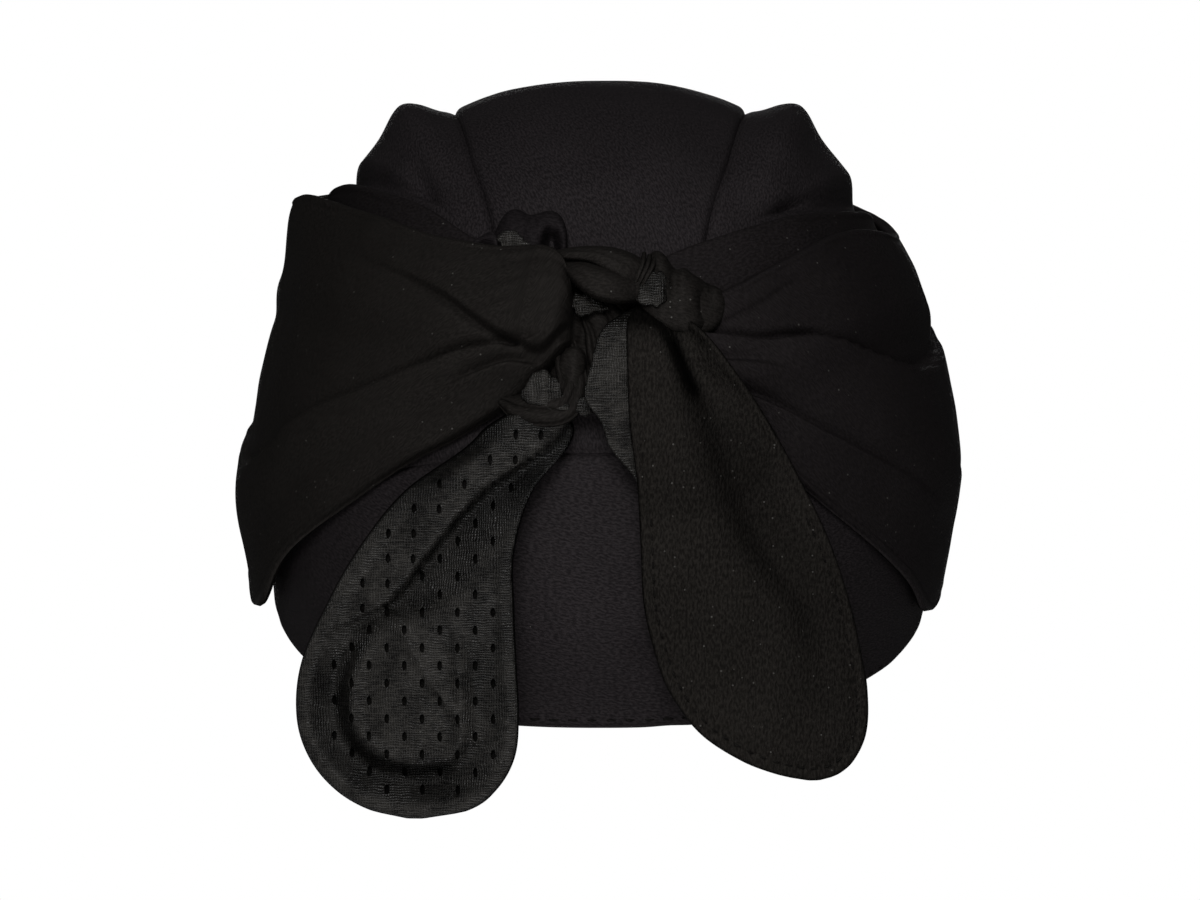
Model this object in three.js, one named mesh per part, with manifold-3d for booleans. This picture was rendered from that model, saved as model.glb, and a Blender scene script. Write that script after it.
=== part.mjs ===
// Turban headwrap: a soft cap of four cloth panels, and two wide tie bands knotted at the back.
// Millimetres, +Z up. The origin is the centre of the head opening, in the plane of the rim.
// +Y is the wearer's front, so the knot is on the -Y side and +X is the wearer's right.
import * as THREE from 'three';
import Module from 'manifold-3d';
import { mergeVertices } from 'three/addons/utils/BufferGeometryUtils.js';

const wasm = await Module();
wasm.setup();

// Form inside the cap, measured from the centre of its rim
const HEAD_HALF_WIDTH = 82;
const HEAD_HALF_LENGTH = 97;
const CROWN_HEIGHT = 124;
const RIM_TILT = 21.5;
const SIDE_SQUARENESS = 2.4;
const ROUND_SQUARENESS = 2.15;

// Cloth walls, the gap between layers that bend together, and the clearance round trimmed rolls
const PANEL_WALL = 1.8;
const FOLD_WALL = 2;
const BAND_WALL = 2.4;
const TAIL_WALL = 1.8;
const LINING_WALL = 1;
const LAYER_GAP = 0.5;
const CLEARANCE = 0.42;

// Panels: the puffed sides, the drawn-in rim and the seams
const SIDE_PUFF = 4.3;
const RIDGE_RISE = 3.6;
const RIM_DRAW = 2.6;
const RIM_DRAW_HEIGHT = 26;
const NAPE_SEAM_TURN = 31.8;
const SEAM_GAP = 0.3;

// Bands: the swell of the cloth towards the knot, the lapped pleats and the flared top edge
const LEFT_GATHER = 7.5;
const RIGHT_GATHER = 3;
const LOBE_RISE = 3.2;
const LEFT_PLEAT_RISE = 3;
const RIGHT_PLEAT_RISE = 4.6;
const LEFT_BILLOW = 2.6;
const RIGHT_BILLOW = 1.3;
const RIM_STAND = 0.55;
const LEFT_FLARE = 5.5;
const FOLD_FLARE = 3;

// Knot: its centre on the cap, and its size along and square to the cloth
const KNOT_RISE = 47;
const KNOT_SIZE = 40;
const KNOT_DEPTH = 10;
const ROLL_SIDES = 8;
const ROLL_STEP = 0.5;

// Tie ends that hang from the knot
const LEFT_TAIL_LENGTH = 97;
const LEFT_TAIL_WIDTH = 53;
const RIGHT_TAIL_LENGTH = 114;
const RIGHT_TAIL_WIDTH = 52;
const TAIL_STAND = 6.5;
const TAIL_SWEEP = 20;
const TAIL_TUCK = 0.07;
const TAIL_FOLD = 2.8;
const LINING_INSET = 0.3;
const STRIP_UNDERLAP = 2.5;
const STRIP_SINK = 0.35;

// Eyelet mesh of the lining
const MESH_PITCH = 8.5;
const EYELET_WIDTH = 1.9;
const EYELET_HEIGHT = 3.6;
const EYELET_EDGE = 5;

// Where the centre panel meets the side panels: angle aside for each turn from nape to brow
const SEAM_COURSE = [
  { turn: 31.8, aside: 13.5 },
  { turn: 50, aside: 15.8 },
  { turn: 64, aside: 18 },
  { turn: 80, aside: 21.8 },
  { turn: 107, aside: 24.6 },
  { turn: 140, aside: 23.4 },
  { turn: 180, aside: 20 },
];

// Bands section by section, from the knot round to the brow, in degrees about and above the rim.
// gather is a share of the band's swell, lobe and pleat are shares of its width.
const LEFT_BAND = [
  { round: 6, low: 43.6, high: 51.6, gather: 0.72, lobe: -0.1, pleat: 0.3 },
  { round: 9, low: 41.7, high: 53.4, gather: 1, lobe: 0.02, pleat: 0.3 },
  { round: 13.5, low: 38.3, high: 54.2, gather: 0.95, lobe: 0.22, pleat: 0.31 },
  { round: 19, low: 35.2, high: 54, gather: 0.8, lobe: 0.4, pleat: 0.36 },
  { round: 27, low: 31, high: 53.4, gather: 0.58, lobe: 0.59, pleat: 0.43 },
  { round: 35, low: 27, high: 53, gather: 0.4, lobe: 0.71, pleat: 0.42 },
  { round: 45, low: 20.8, high: 52.4, gather: 0.25, lobe: 0.8, pleat: 0.4 },
  { round: 56, low: 13.4, high: 51.8, gather: 0.15, lobe: 0.85, pleat: 0.4 },
  { round: 64, low: 6.2, high: 51, gather: 0.1, lobe: 0.9, pleat: 0.38 },
  { round: 72, low: 2.4, high: 49.8, gather: 0.05, lobe: 1, pleat: 0.36 },
  { round: 81, low: 1.2, high: 48.2, gather: 0, lobe: 1.1, pleat: 0.34 },
  { round: 92, low: 1.2, high: 45.6, gather: 0, lobe: 1.2, pleat: 0.33 },
  { round: 106, low: 1.2, high: 40.6, gather: 0, lobe: 1.2, pleat: 0.33 },
  { round: 126, low: 1.2, high: 36.4, gather: 0, lobe: 1.2, pleat: 0.33 },
  { round: 152, low: 1.2, high: 33.4, gather: 0, lobe: 1.2, pleat: 0.33 },
  { round: 179.8, low: 1.2, high: 32.4, gather: 0, lobe: 1.2, pleat: 0.33 },
];
const RIGHT_BAND = [
  { round: 8, low: 39, high: 47.4, gather: 0.9, lobe: 1.2, pleat: 0.72 },
  { round: 15, low: 36, high: 47.6, gather: 1, lobe: 1.2, pleat: 0.72 },
  { round: 24, low: 31.4, high: 47.7, gather: 0.9, lobe: 1.2, pleat: 0.71 },
  { round: 31, low: 28, high: 48.1, gather: 0.72, lobe: 1.2, pleat: 0.68 },
  { round: 40, low: 21.5, high: 48.8, gather: 0.5, lobe: 1.2, pleat: 0.68 },
  { round: 49, low: 15.3, high: 49.1, gather: 0.3, lobe: 1.2, pleat: 0.67 },
  { round: 58, low: 8.9, high: 49, gather: 0.15, lobe: 1.2, pleat: 0.64 },
  { round: 65, low: 4, high: 48.5, gather: 0.08, lobe: 1.2, pleat: 0.64 },
  { round: 74, low: 2, high: 47, gather: 0, lobe: 1.2, pleat: 0.66 },
  { round: 86, low: 1.2, high: 43.6, gather: 0, lobe: 1.2, pleat: 0.68 },
  { round: 99, low: 1.2, high: 39.4, gather: 0, lobe: 1.2, pleat: 0.68 },
  { round: 124, low: 1.2, high: 35.6, gather: 0, lobe: 1.2, pleat: 0.66 },
  { round: 152, low: 1.2, high: 33.2, gather: 0, lobe: 1.2, pleat: 0.64 },
  { round: 179.8, low: 1.2, high: 32.4, gather: 0, lobe: 1.2, pleat: 0.64 },
];

// Rows across a band, as shares of its width
const LEFT_BAND_ROWS = [0, 0.1, 0.21, 0.3, 0.37, 0.43, 0.55, 0.68, 0.8, 0.9, 1];
const RIGHT_BAND_ROWS = [0, 0.11, 0.22, 0.34, 0.46, 0.56, 0.64, 0.71, 0.81, 0.9, 1];

// Inner folds that show above the bands: rise of the top edge for each turn about the rim
const LEFT_FOLD = [
  { round: 20, high: 54.2 },
  { round: 33, high: 54.6 },
  { round: 53, high: 55.8 },
  { round: 68, high: 54.6 },
  { round: 91, high: 49.8 },
  { round: 106, high: 43.4 },
  { round: 124, high: 36.2 },
];
const RIGHT_FOLD = [
  { round: 11, high: 53 },
  { round: 20, high: 54.8 },
  { round: 35, high: 55.3 },
  { round: 51, high: 54.5 },
  { round: 62, high: 53.1 },
  { round: 76, high: 50.2 },
  { round: 94, high: 45.4 },
  { round: 105, high: 41.2 },
  { round: 124, high: 35.2 },
];
const FOLD_DIP = 9;

// Longest step round the cap between two columns of a band, in degrees
const LONGEST_STEP = 7.2;

// Gathered cloth that stands up behind the knot
const BACK_GATHER = [
  { round: 18.5, high: 56.2, swell: 0.3 },
  { round: 16.5, high: 59.4, swell: 0.9 },
  { round: 14, high: 60.6, swell: 1 },
  { round: 11.8, high: 58.4, swell: 0.45 },
  { round: 9.2, high: 59, swell: 0.85 },
  { round: 6.8, high: 59.6, swell: 1 },
  { round: 4.8, high: 57, swell: 0.4 },
];
const GATHER_LOW = 50.5;
const GATHER_SWELL = 5;
const GATHER_STEP = 1.4;

// Rolls of the knot: x and z from its centre and half widths as shares of its size,
// low and high as shares of its depth over the band end
const TOP_LOOP = [
  { x: -0.205, z: 0.37, half: 0.075, low: 0.7, high: 1.4 },
  { x: -0.12, z: 0.36, half: 0.135, low: 0.6, high: 1.8 },
  { x: 0, z: 0.33, half: 0.165, low: 0.55, high: 2 },
  { x: 0.11, z: 0.28, half: 0.165, low: 0.55, high: 2 },
  { x: 0.2, z: 0.22, half: 0.13, low: 0.65, high: 1.8 },
  { x: 0.25, z: 0.18, half: 0.07, low: 0.8, high: 1.4 },
];
const RIGHT_COLLAR = [
  { x: 0.33, z: 0.27, half: 0.12, low: 0.8, high: 1.3 },
  { x: 0.4, z: 0.245, half: 0.2, low: 0.74, high: 1.62 },
  { x: 0.5, z: 0.2, half: 0.21, low: 0.72, high: 1.66 },
  { x: 0.6, z: 0.155, half: 0.17, low: 0.72, high: 1.55 },
  { x: 0.67, z: 0.12, half: 0.1, low: 0.76, high: 1.3 },
];
const LOWER_LOOP = [
  { x: -0.575, z: -0.44, half: 0.06, low: 0.52, high: 0.86 },
  { x: -0.49, z: -0.465, half: 0.105, low: 0.5, high: 1.12 },
  { x: -0.36, z: -0.475, half: 0.125, low: 0.5, high: 1.28 },
  { x: -0.23, z: -0.43, half: 0.13, low: 0.5, high: 1.3 },
  { x: -0.16, z: -0.31, half: 0.105, low: 0.5, high: 1.16 },
  { x: -0.145, z: -0.19, half: 0.085, low: 0.5, high: 1.02 },
  { x: -0.14, z: -0.11, half: 0.06, low: 0.5, high: 0.86 },
];
const KNOT_CORE = [
  { x: -0.01, z: 0.2, half: 0.06, low: 0.26, high: 0.5 },
  { x: 0.02, z: 0.12, half: 0.13, low: 0.23, high: 0.86 },
  { x: 0.06, z: 0, half: 0.16, low: 0.23, high: 1 },
  { x: 0.08, z: -0.16, half: 0.16, low: 0.23, high: 0.96 },
  { x: 0.09, z: -0.3, half: 0.12, low: 0.23, high: 0.8 },
  { x: 0.09, z: -0.38, half: 0.06, low: 0.26, high: 0.5 },
];

// Tie ends: drop as a share of the length, left and right edges as shares of the width from the
// knot's centre, over as the clearance from the cap under it as a share of the knot's depth
const LEFT_TAIL = [
  { drop: 0, left: -0.47, right: -0.1, over: 0.22, fold: 1, deep: 0.2 },
  { drop: 0.08, left: -0.6, right: -0.14, over: 0.25, fold: 0.92, deep: 0.7 },
  { drop: 0.19, left: -0.88, right: -0.3, over: 0.3, fold: 0.76, deep: 1 },
  { drop: 0.34, left: -1.1, right: -0.385, over: 0.3, fold: 0.56, deep: 1 },
  { drop: 0.48, left: -1.245, right: -0.385, over: 0.28, fold: 0.36, deep: 0.7 },
  { drop: 0.62, left: -1.355, right: -0.375, over: 0.26, fold: 0.3, deep: 0.25 },
  { drop: 0.75, left: -1.375, right: -0.365, over: 0.25, fold: 0.3, deep: 0 },
  { drop: 0.85, left: -1.32, right: -0.385, over: 0.25, fold: 0.3, deep: 0 },
  { drop: 0.93, left: -1.2, right: -0.47, over: 0.25, fold: 0.3, deep: 0 },
  { drop: 0.98, left: -1.04, right: -0.6, over: 0.25, fold: 0.3, deep: 0 },
  { drop: 1, left: -0.87, right: -0.8, over: 0.25, fold: 0.3, deep: 0 },
];
const RIGHT_TAIL = [
  { drop: 0, left: 0.12, right: 0.3, over: 1.22, fold: 0.55, deep: 0.5 },
  { drop: 0.05, left: 0.12, right: 0.46, over: 1.22, fold: 0.57, deep: 1 },
  { drop: 0.14, left: 0.125, right: 0.62, over: 1.2, fold: 0.56, deep: 1 },
  { drop: 0.25, left: 0.135, right: 0.78, over: 1.08, fold: 0.55, deep: 1 },
  { drop: 0.38, left: 0.17, right: 0.935, over: 0.85, fold: 0.54, deep: 0.9 },
  { drop: 0.5, left: 0.185, right: 1.06, over: 0.5, fold: 0.61, deep: 0.7 },
  { drop: 0.63, left: 0.2, right: 1.155, over: 0.35, fold: 0.7, deep: 0.45 },
  { drop: 0.73, left: 0.25, right: 1.205, over: 0.3, fold: 0.72, deep: 0.2 },
  { drop: 0.81, left: 0.315, right: 1.235, over: 0.3, fold: 0.72, deep: 0 },
  { drop: 0.9, left: 0.46, right: 1.23, over: 0.3, fold: 0.72, deep: 0 },
  { drop: 0.96, left: 0.66, right: 1.17, over: 0.3, fold: 0.72, deep: 0 },
  { drop: 0.99, left: 0.84, right: 1.09, over: 0.3, fold: 0.72, deep: 0 },
  { drop: 1, left: 0.96, right: 1.01, over: 0.3, fold: 0.72, deep: 0 },
];

// Lining turned out beside the right tie end: how far it stands past the cloth's left edge
const TURNED_STRIP = [
  { drop: 0, past: 0 },
  { drop: 0.055, past: 0.12 },
  { drop: 0.125, past: 0.17 },
  { drop: 0.195, past: 0.205 },
  { drop: 0.25, past: 0.135 },
  { drop: 0.3, past: 0.11 },
  { drop: 0.37, past: 0.01 },
  { drop: 0.42, past: 0 },
  { drop: 1, past: 0 },
];

const radians = THREE.MathUtils.degToRad;
const mix = THREE.MathUtils.lerp;
const ease = THREE.MathUtils.smoothstep;
const TILT_AXIS = new THREE.Vector3(1, 0, 0);
const TILT = radians(RIM_TILT);

// Read one column of a table at a place along another, on a smooth curve through the rows
function readTable(table, along, column, place) {
  const last = table.length - 1;
  const rising = table[last][along] > table[0][along];
  let low = 0;
  while (low < last - 1 && (table[low + 1][along] <= place) === rising) {
    low += 1;
  }
  const before = table[Math.max(low - 1, 0)];
  const start = table[low];
  const end = table[low + 1];
  const after = table[Math.min(low + 2, last)];
  const span = end[along] - start[along];
  const share = THREE.MathUtils.clamp((place - start[along]) / span, 0, 1);
  const startSlope = span * (end[column] - before[column]) / (end[along] - before[along]);
  const endSlope = span * (after[column] - start[column]) / (after[along] - start[along]);
  const square = share * share;
  const cube = square * share;
  return (2 * cube - 3 * square + 1) * start[column] + (cube - 2 * square + share) * startSlope
    + (3 * square - 2 * cube) * end[column] + (cube - square) * endSlope;
}

// Direction from the turn about the rim, 0 at the nape, and the rise above its plane
function aroundRim(round, rise) {
  const level = Math.cos(radians(rise));
  return new THREE.Vector3(
    level * Math.sin(radians(round)), -level * Math.cos(radians(round)), Math.sin(radians(rise)));
}

// Direction from the angle aside of the middle and the turn from nape to brow over the crown
function overCrown(aside, turn) {
  const middle = Math.cos(radians(aside));
  return new THREE.Vector3(
    Math.sin(radians(aside)), -middle * Math.cos(radians(turn)), middle * Math.sin(radians(turn)));
}

// How far outside the head form a point is, and the way out from there, both in the rim's frame
function formAt(point) {
  const across = Math.abs(point.x) / HEAD_HALF_WIDTH;
  const along = Math.abs(point.y) / HEAD_HALF_LENGTH;
  const up = Math.abs(point.z) / CROWN_HEIGHT;
  const round = along ** ROUND_SQUARENESS + up ** ROUND_SQUARENESS;
  const ratio = SIDE_SQUARENESS / ROUND_SQUARENESS;
  const size = (across ** SIDE_SQUARENESS + round ** ratio) ** (1 / SIDE_SQUARENESS);
  const outward = new THREE.Vector3(
    Math.sign(point.x) * across ** (SIDE_SQUARENESS - 1) / HEAD_HALF_WIDTH,
    round ** (ratio - 1) * Math.sign(point.y) * along ** (ROUND_SQUARENESS - 1) / HEAD_HALF_LENGTH,
    round ** (ratio - 1) * Math.sign(point.z) * up ** (ROUND_SQUARENESS - 1) / CROWN_HEIGHT);
  const steepness = outward.length() * size ** (1 - SIDE_SQUARENESS);
  return { size, outward: outward.normalize(), outside: (size - 1) / steepness };
}

// Point over the head form in a direction from the rim's centre, lifted off it by a height
function clothPoint(direction, lift) {
  const point = new THREE.Vector3(
    direction.x * HEAD_HALF_WIDTH, direction.y * HEAD_HALF_LENGTH, direction.z * CROWN_HEIGHT);
  const form = formAt(point);
  point.divideScalar(form.size);
  const drawn = RIM_DRAW * (1 - ease(point.z, 0, RIM_DRAW_HEIGHT));
  point.addScaledVector(form.outward, lift - drawn);
  return point.applyAxisAngle(TILT_AXIS, TILT);
}

// Height of a point of space over the head form
function heightOver(point) {
  const level = point.clone().applyAxisAngle(TILT_AXIS, -TILT);
  const form = formAt(level);
  return { outside: form.outside, outward: form.outward.applyAxisAngle(TILT_AXIS, TILT) };
}

// Point behind the cap at a given x and z, slid along Y until it stands at a height over the form
function pointBehind(x, z, lift) {
  const point = new THREE.Vector3(x, -HEAD_HALF_LENGTH - lift, z);
  for (let step = 0; step < 8; step += 1) {
    const over = heightOver(point);
    point.y -= (over.outside - lift) / over.outward.y;
  }
  return point;
}

// Closed geometry from points and triangles: equal points joined, empty triangles dropped
function closedGeometry(points, triangles) {
  const loose = new THREE.BufferGeometry().setFromPoints(points);
  loose.setIndex(triangles);
  const joined = mergeVertices(loose, 1e-4);
  const index = joined.index.array;
  const kept = [];
  for (let i = 0; i < index.length; i += 3) {
    const [a, b, c] = [index[i], index[i + 1], index[i + 2]];
    if (a !== b && b !== c && c !== a) {
      kept.push(a, b, c);
    }
  }
  joined.setIndex(volumeInside(joined, kept) < 0 ? kept.reverse() : kept);
  return joined;
}

function volumeInside(geometry, index) {
  const at = (i) => new THREE.Vector3().fromBufferAttribute(geometry.attributes.position, index[i]);
  let volume = 0;
  for (let i = 0; i < index.length; i += 3) {
    volume += at(i).dot(at(i + 1).cross(at(i + 2))) / 6;
  }
  return volume;
}

// Sheet of cloth with an outer and an inner face over a grid of columns and rows
function sheet(columns, rows, face) {
  const points = [];
  const high = rows.length;
  for (const outer of [true, false]) {
    for (const column of columns) {
      for (const row of rows) {
        points.push(face(column, row, outer));
      }
    }
  }
  const layer = columns.length * high;
  const triangles = [];
  const addSquare = (a, b, c, d) => triangles.push(a, b, c, a, c, d);
  for (let i = 0; i < columns.length - 1; i += 1) {
    for (let j = 0; j < high - 1; j += 1) {
      const a = i * high + j;
      addSquare(a, a + high, a + high + 1, a + 1);
      addSquare(layer + a, layer + a + 1, layer + a + high + 1, layer + a + high);
    }
  }
  const edge = [];
  for (let i = 0; i < columns.length - 1; i += 1) {
    edge.push(i * high);
  }
  for (let j = 0; j < high - 1; j += 1) {
    edge.push((columns.length - 1) * high + j);
  }
  for (let i = columns.length - 1; i > 0; i -= 1) {
    edge.push(i * high + high - 1);
  }
  for (let j = high - 1; j > 0; j -= 1) {
    edge.push(j);
  }
  for (let i = 0; i < edge.length; i += 1) {
    const next = edge[(i + 1) % edge.length];
    addSquare(edge[i], layer + edge[i], layer + next, next);
  }
  return closedGeometry(points, triangles);
}

// Evenly spaced values from one end to the other
function spread(from, to, count) {
  return Array.from({ length: count + 1 }, (_, i) => mix(from, to, i / count));
}

// Places of a table's rows along it, with each gap between them divided to a longest step
function tablePlaces(table, along, longest) {
  const places = table.slice(0, -1).flatMap((row, i) => {
    const next = table[i + 1][along];
    const count = Math.ceil(Math.abs(next - row[along]) / longest - 1e-6);
    return spread(row[along], next, count).slice(0, -1);
  });
  return [...places, table.at(-1)[along]];
}

// Roll of cloth: rings along a course over the cap, closed at both ends
function roll(course, centre, grow) {
  const table = course.map((row, place) => ({ ...row, place }));
  const places = tablePlaces(table, 'place', ROLL_STEP);
  const read = (column, place) => readTable(table, 'place', column, place);
  const at = (place) => new THREE.Vector2(read('x', place), read('z', place));
  const points = [];
  const addPoint = (x, z, share) => points.push(pointBehind(
    centre.x + x * KNOT_SIZE, centre.z + z * KNOT_SIZE, share * KNOT_DEPTH));
  for (const place of places) {
    const middle = at(place);
    const ahead = at(Math.min(place + 0.1, course.length - 1));
    const side = ahead.sub(at(Math.max(place - 0.1, 0))).normalize();
    const half = read('half', place) + grow / KNOT_SIZE;
    const low = read('low', place) - grow / KNOT_DEPTH;
    const high = read('high', place) + grow / KNOT_DEPTH;
    for (let i = 0; i < ROLL_SIDES; i += 1) {
      const angle = 2 * Math.PI * i / ROLL_SIDES;
      const out = half * Math.cos(angle);
      addPoint(middle.x - side.y * out, middle.y + side.x * out,
        mix(low, high, 0.5 + 0.5 * Math.sin(angle)));
    }
  }
  for (const [place, past] of [[0, -1], [course.length - 1, 1]]) {
    const end = at(place);
    const back = at(place === 0 ? 0.2 : place - 0.2);
    const reach = (read('half', place) * 0.5 + grow / KNOT_SIZE) * Math.abs(past);
    const way = end.clone().sub(back).normalize().multiplyScalar(reach);
    addPoint(end.x + way.x, end.y + way.y, mix(read('low', place), read('high', place), 0.5));
  }
  const triangles = [];
  for (let i = 0; i < places.length - 1; i += 1) {
    for (let j = 0; j < ROLL_SIDES; j += 1) {
      const next = (j + 1) % ROLL_SIDES;
      const a = i * ROLL_SIDES;
      const b = a + ROLL_SIDES;
      triangles.push(a + j, b + j, b + next, a + j, b + next, a + next);
    }
  }
  const lastRing = (places.length - 1) * ROLL_SIDES;
  for (let j = 0; j < ROLL_SIDES; j += 1) {
    const next = (j + 1) % ROLL_SIDES;
    triangles.push(points.length - 2, j, next);
    triangles.push(points.length - 1, lastRing + next, lastRing + j);
  }
  return closedGeometry(points, triangles);
}

function toSolid(geometry) {
  return new wasm.Manifold(new wasm.Mesh({
    numProp: 3,
    vertProperties: new Float32Array(geometry.attributes.position.array),
    triVerts: new Uint32Array(geometry.index.array),
  }));
}

function toGeometry(solid) {
  const mesh = solid.getMesh();
  const geometry = new THREE.BufferGeometry();
  geometry.setAttribute('position', new THREE.BufferAttribute(mesh.vertProperties, 3));
  geometry.setIndex(new THREE.BufferAttribute(mesh.triVerts, 1));
  return geometry;
}

// Two overlapping pieces made one
function joined(first, second) {
  return toGeometry(toSolid(first).add(toSolid(second)));
}

// Piece trimmed to lie clear of others, which are given a clearance larger than they are
function trimmed(geometry, others) {
  let solid = toSolid(geometry);
  for (const other of others) {
    solid = solid.subtract(toSolid(other));
  }
  const bodies = solid.decompose();
  bodies.sort((a, b) => b.volume() - a.volume());
  return toGeometry(bodies[0]);
}

// Panels of the cap
const foldTable = (side) => (side < 0 ? LEFT_FOLD : RIGHT_FOLD);
const bandTable = (side) => (side < 0 ? LEFT_BAND : RIGHT_BAND);

// Rise of the upper edge of whatever covers the side panels at a turn about the rim
function coverRise(side, round) {
  const fold = foldTable(side);
  const band = readTable(bandTable(side), 'round', 'high', round);
  const inFold = round > fold[0].round && round < fold.at(-1).round;
  return inFold ? Math.max(band, readTable(fold, 'round', 'high', round)) : band;
}

// Half of a seam's gap as a turn over the crown, at an angle aside of the middle
function seamTurn(aside) {
  const reach = HEAD_HALF_LENGTH * Math.max(Math.cos(radians(aside)), 0.03);
  return THREE.MathUtils.radToDeg(SEAM_GAP / 2 / reach);
}

// Half of a seam's gap as an angle aside, and where a seam runs at a turn over the crown
const SEAM_ASIDE = THREE.MathUtils.radToDeg(SEAM_GAP / 2 / HEAD_HALF_WIDTH);
const seamAside = (turn) => readTable(SEAM_COURSE, 'turn', 'aside', turn);

// Share of a side panel's width that shows at a turn, before the fold or the band covers it
function shownShare(side, turn) {
  const seam = seamAside(turn);
  let shown = 0;
  let covered = 1;
  for (let step = 0; step < 12; step += 1) {
    const middle = (shown + covered) / 2;
    const way = overCrown(mix(seam, 90, middle), turn);
    const round = THREE.MathUtils.radToDeg(Math.atan2(way.x, -way.y));
    const rise = THREE.MathUtils.radToDeg(Math.asin(way.z));
    if (rise > coverRise(side, round) + EDGE_MARGIN) {
      shown = middle;
    } else {
      covered = middle;
    }
  }
  return Math.max(shown, LEAST_SHOWN);
}

// Puff of a side panel: a ridge beside the seam over the crown and full cloth beyond it
function sidePuff(turn, share) {
  const ridge = Math.exp(-(((share - 0.095) / 0.055) ** 2) - ((turn - 108) / 34) ** 2);
  const full = SIDE_PUFF * ease(share, 0, 0.1) + RIDGE_RISE * ridge * ease(share, 0, 0.06);
  return full * ease(turn, NAPE_SEAM_TURN + 1, NAPE_SEAM_TURN + 9);
}

function centrePanel() {
  return sheet(spread(0, 1, CROWN_COLUMNS), spread(-1, 1, 6), (along, share, outer) => {
    const turn = mix(NAPE_SEAM_TURN + seamTurn(0), 180, along);
    const aside = (seamAside(turn) - SEAM_ASIDE) * share;
    return clothPoint(overCrown(aside, turn), outer ? PANEL_WALL : 0);
  });
}

const LEAST_SHOWN = 0.1;
const FULL_SHOWN = 0.3;
const EDGE_MARGIN = 1.1;
const CROWN_COLUMNS = 18;
const SHOWN_ROWS = [0, 0.07, 0.16, 0.3, 0.55, 0.8, 1];
const COVERED_ROWS = [1.4, 1.75, 2];

function sidePanel(side) {
  const rows = [...SHOWN_ROWS, ...COVERED_ROWS];
  return sheet(spread(0, 1, CROWN_COLUMNS), rows, (along, row, outer) => {
    const level = mix(NAPE_SEAM_TURN, 180, along);
    const shown = shownShare(side, level);
    const share = row < 1 ? row * shown : mix(shown, 1, row - 1);
    const aside = mix(seamAside(level) + SEAM_ASIDE, 90, share);
    const turn = mix(NAPE_SEAM_TURN + seamTurn(aside), 180, along);
    const full = ease(shown, LEAST_SHOWN, FULL_SHOWN) * (1 - ease(row, 0.78, 1));
    return clothPoint(overCrown(aside, turn).multiply(new THREE.Vector3(side, 1, 1)),
      sidePuff(turn, share) * full + (outer ? PANEL_WALL : 0));
  });
}

const NAPE_END = 85;

// The nape panel's seam opens a little where the bands and tie ends cover it
function napePanel() {
  return sheet(spread(-NAPE_END, NAPE_END, 24), spread(0, 1, 4), (aside, up, outer) => {
    const open = 1 + 3 * ease(Math.abs(aside), 16, 30);
    const turn = up * (NAPE_SEAM_TURN - open * seamTurn(aside));
    return clothPoint(overCrown(aside, turn), outer ? PANEL_WALL : 0);
  });
}

// Inner fold of a band, between the cap and the band, seen as a strip above the band's edge
const FOLD_LOW = PANEL_WALL + LAYER_GAP;
const FOLD_HIGH = FOLD_LOW + FOLD_WALL;

// Share of the flare of a top edge, which is widest a little in front of the wearer's ear
const flareShare = (round) => Math.exp(-(((round - 98) / 24) ** 2));

function innerFold(side) {
  const table = foldTable(side);
  const places = tablePlaces(table, 'round', LONGEST_STEP);
  return sheet(places, [0, 0.4, 0.75, 1], (round, share, outer) => {
    const high = readTable(table, 'round', 'high', round);
    const edge = Math.min(high, readTable(bandTable(side), 'round', 'high', round));
    const rise = mix(edge - FOLD_DIP, high, share);
    const flare = side < 0 ? FOLD_FLARE * flareShare(round) * ease(share, 0.6, 1) : 0;
    return clothPoint(aroundRim(side * round, rise), flare + (outer ? FOLD_HIGH : FOLD_LOW));
  });
}

// Heights of the two faces of a band at a turn about the rim and a share of its width
const BAND_LOW = PANEL_WALL + LAYER_GAP;
const BAND_OVER_FOLD = FOLD_HIGH + LAYER_GAP;

function bandFaces(side, round, share) {
  const table = bandTable(side);
  const read = (column) => readTable(table, 'round', column, round);
  const width = read('high') - read('low');
  const overFold = ease((share - 1) * width + FOLD_DIP, -6, -0.5);
  const inner = mix(BAND_LOW, BAND_OVER_FOLD, overFold);
  const arch = Math.sqrt(Math.max(0, 1 - (2 * share - 1) ** 4));
  const gather = (side < 0 ? LEFT_GATHER : RIGHT_GATHER) * read('gather') * arch;
  const lobe = LOBE_RISE * read('gather') * arch * ease(share - read('lobe'), 0, 0.07);
  const below = read('pleat') - share;
  const pleat = side < 0
    ? LEFT_PLEAT_RISE * ease(below, 0, 0.06) * (1 - ease(below, 0.06, 0.24))
    : RIGHT_PLEAT_RISE * mix(0.3, 1, ease(round, 24, 62))
      * ease(below, 0, 0.06) * (1 - ease(below, 0.22, 0.5));
  const billowRound = ease(round, 40, 62) * (1 - ease(round, 120, 165));
  const billow = side < 0
    ? LEFT_BILLOW * billowRound * (1 - 0.5 * share)
    : RIGHT_BILLOW * billowRound * arch;
  const flare = side < 0 ? LEFT_FLARE * flareShare(round) * ease(share, 0.76, 1) : 0;
  const rise = mix(read('low'), read('high'), share);
  const stand = billow + flare + RIM_STAND * (1 - ease(rise, 6, 24));
  return { inner: inner + stand, outer: inner + BAND_WALL + gather + lobe + pleat + stand };
}

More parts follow.
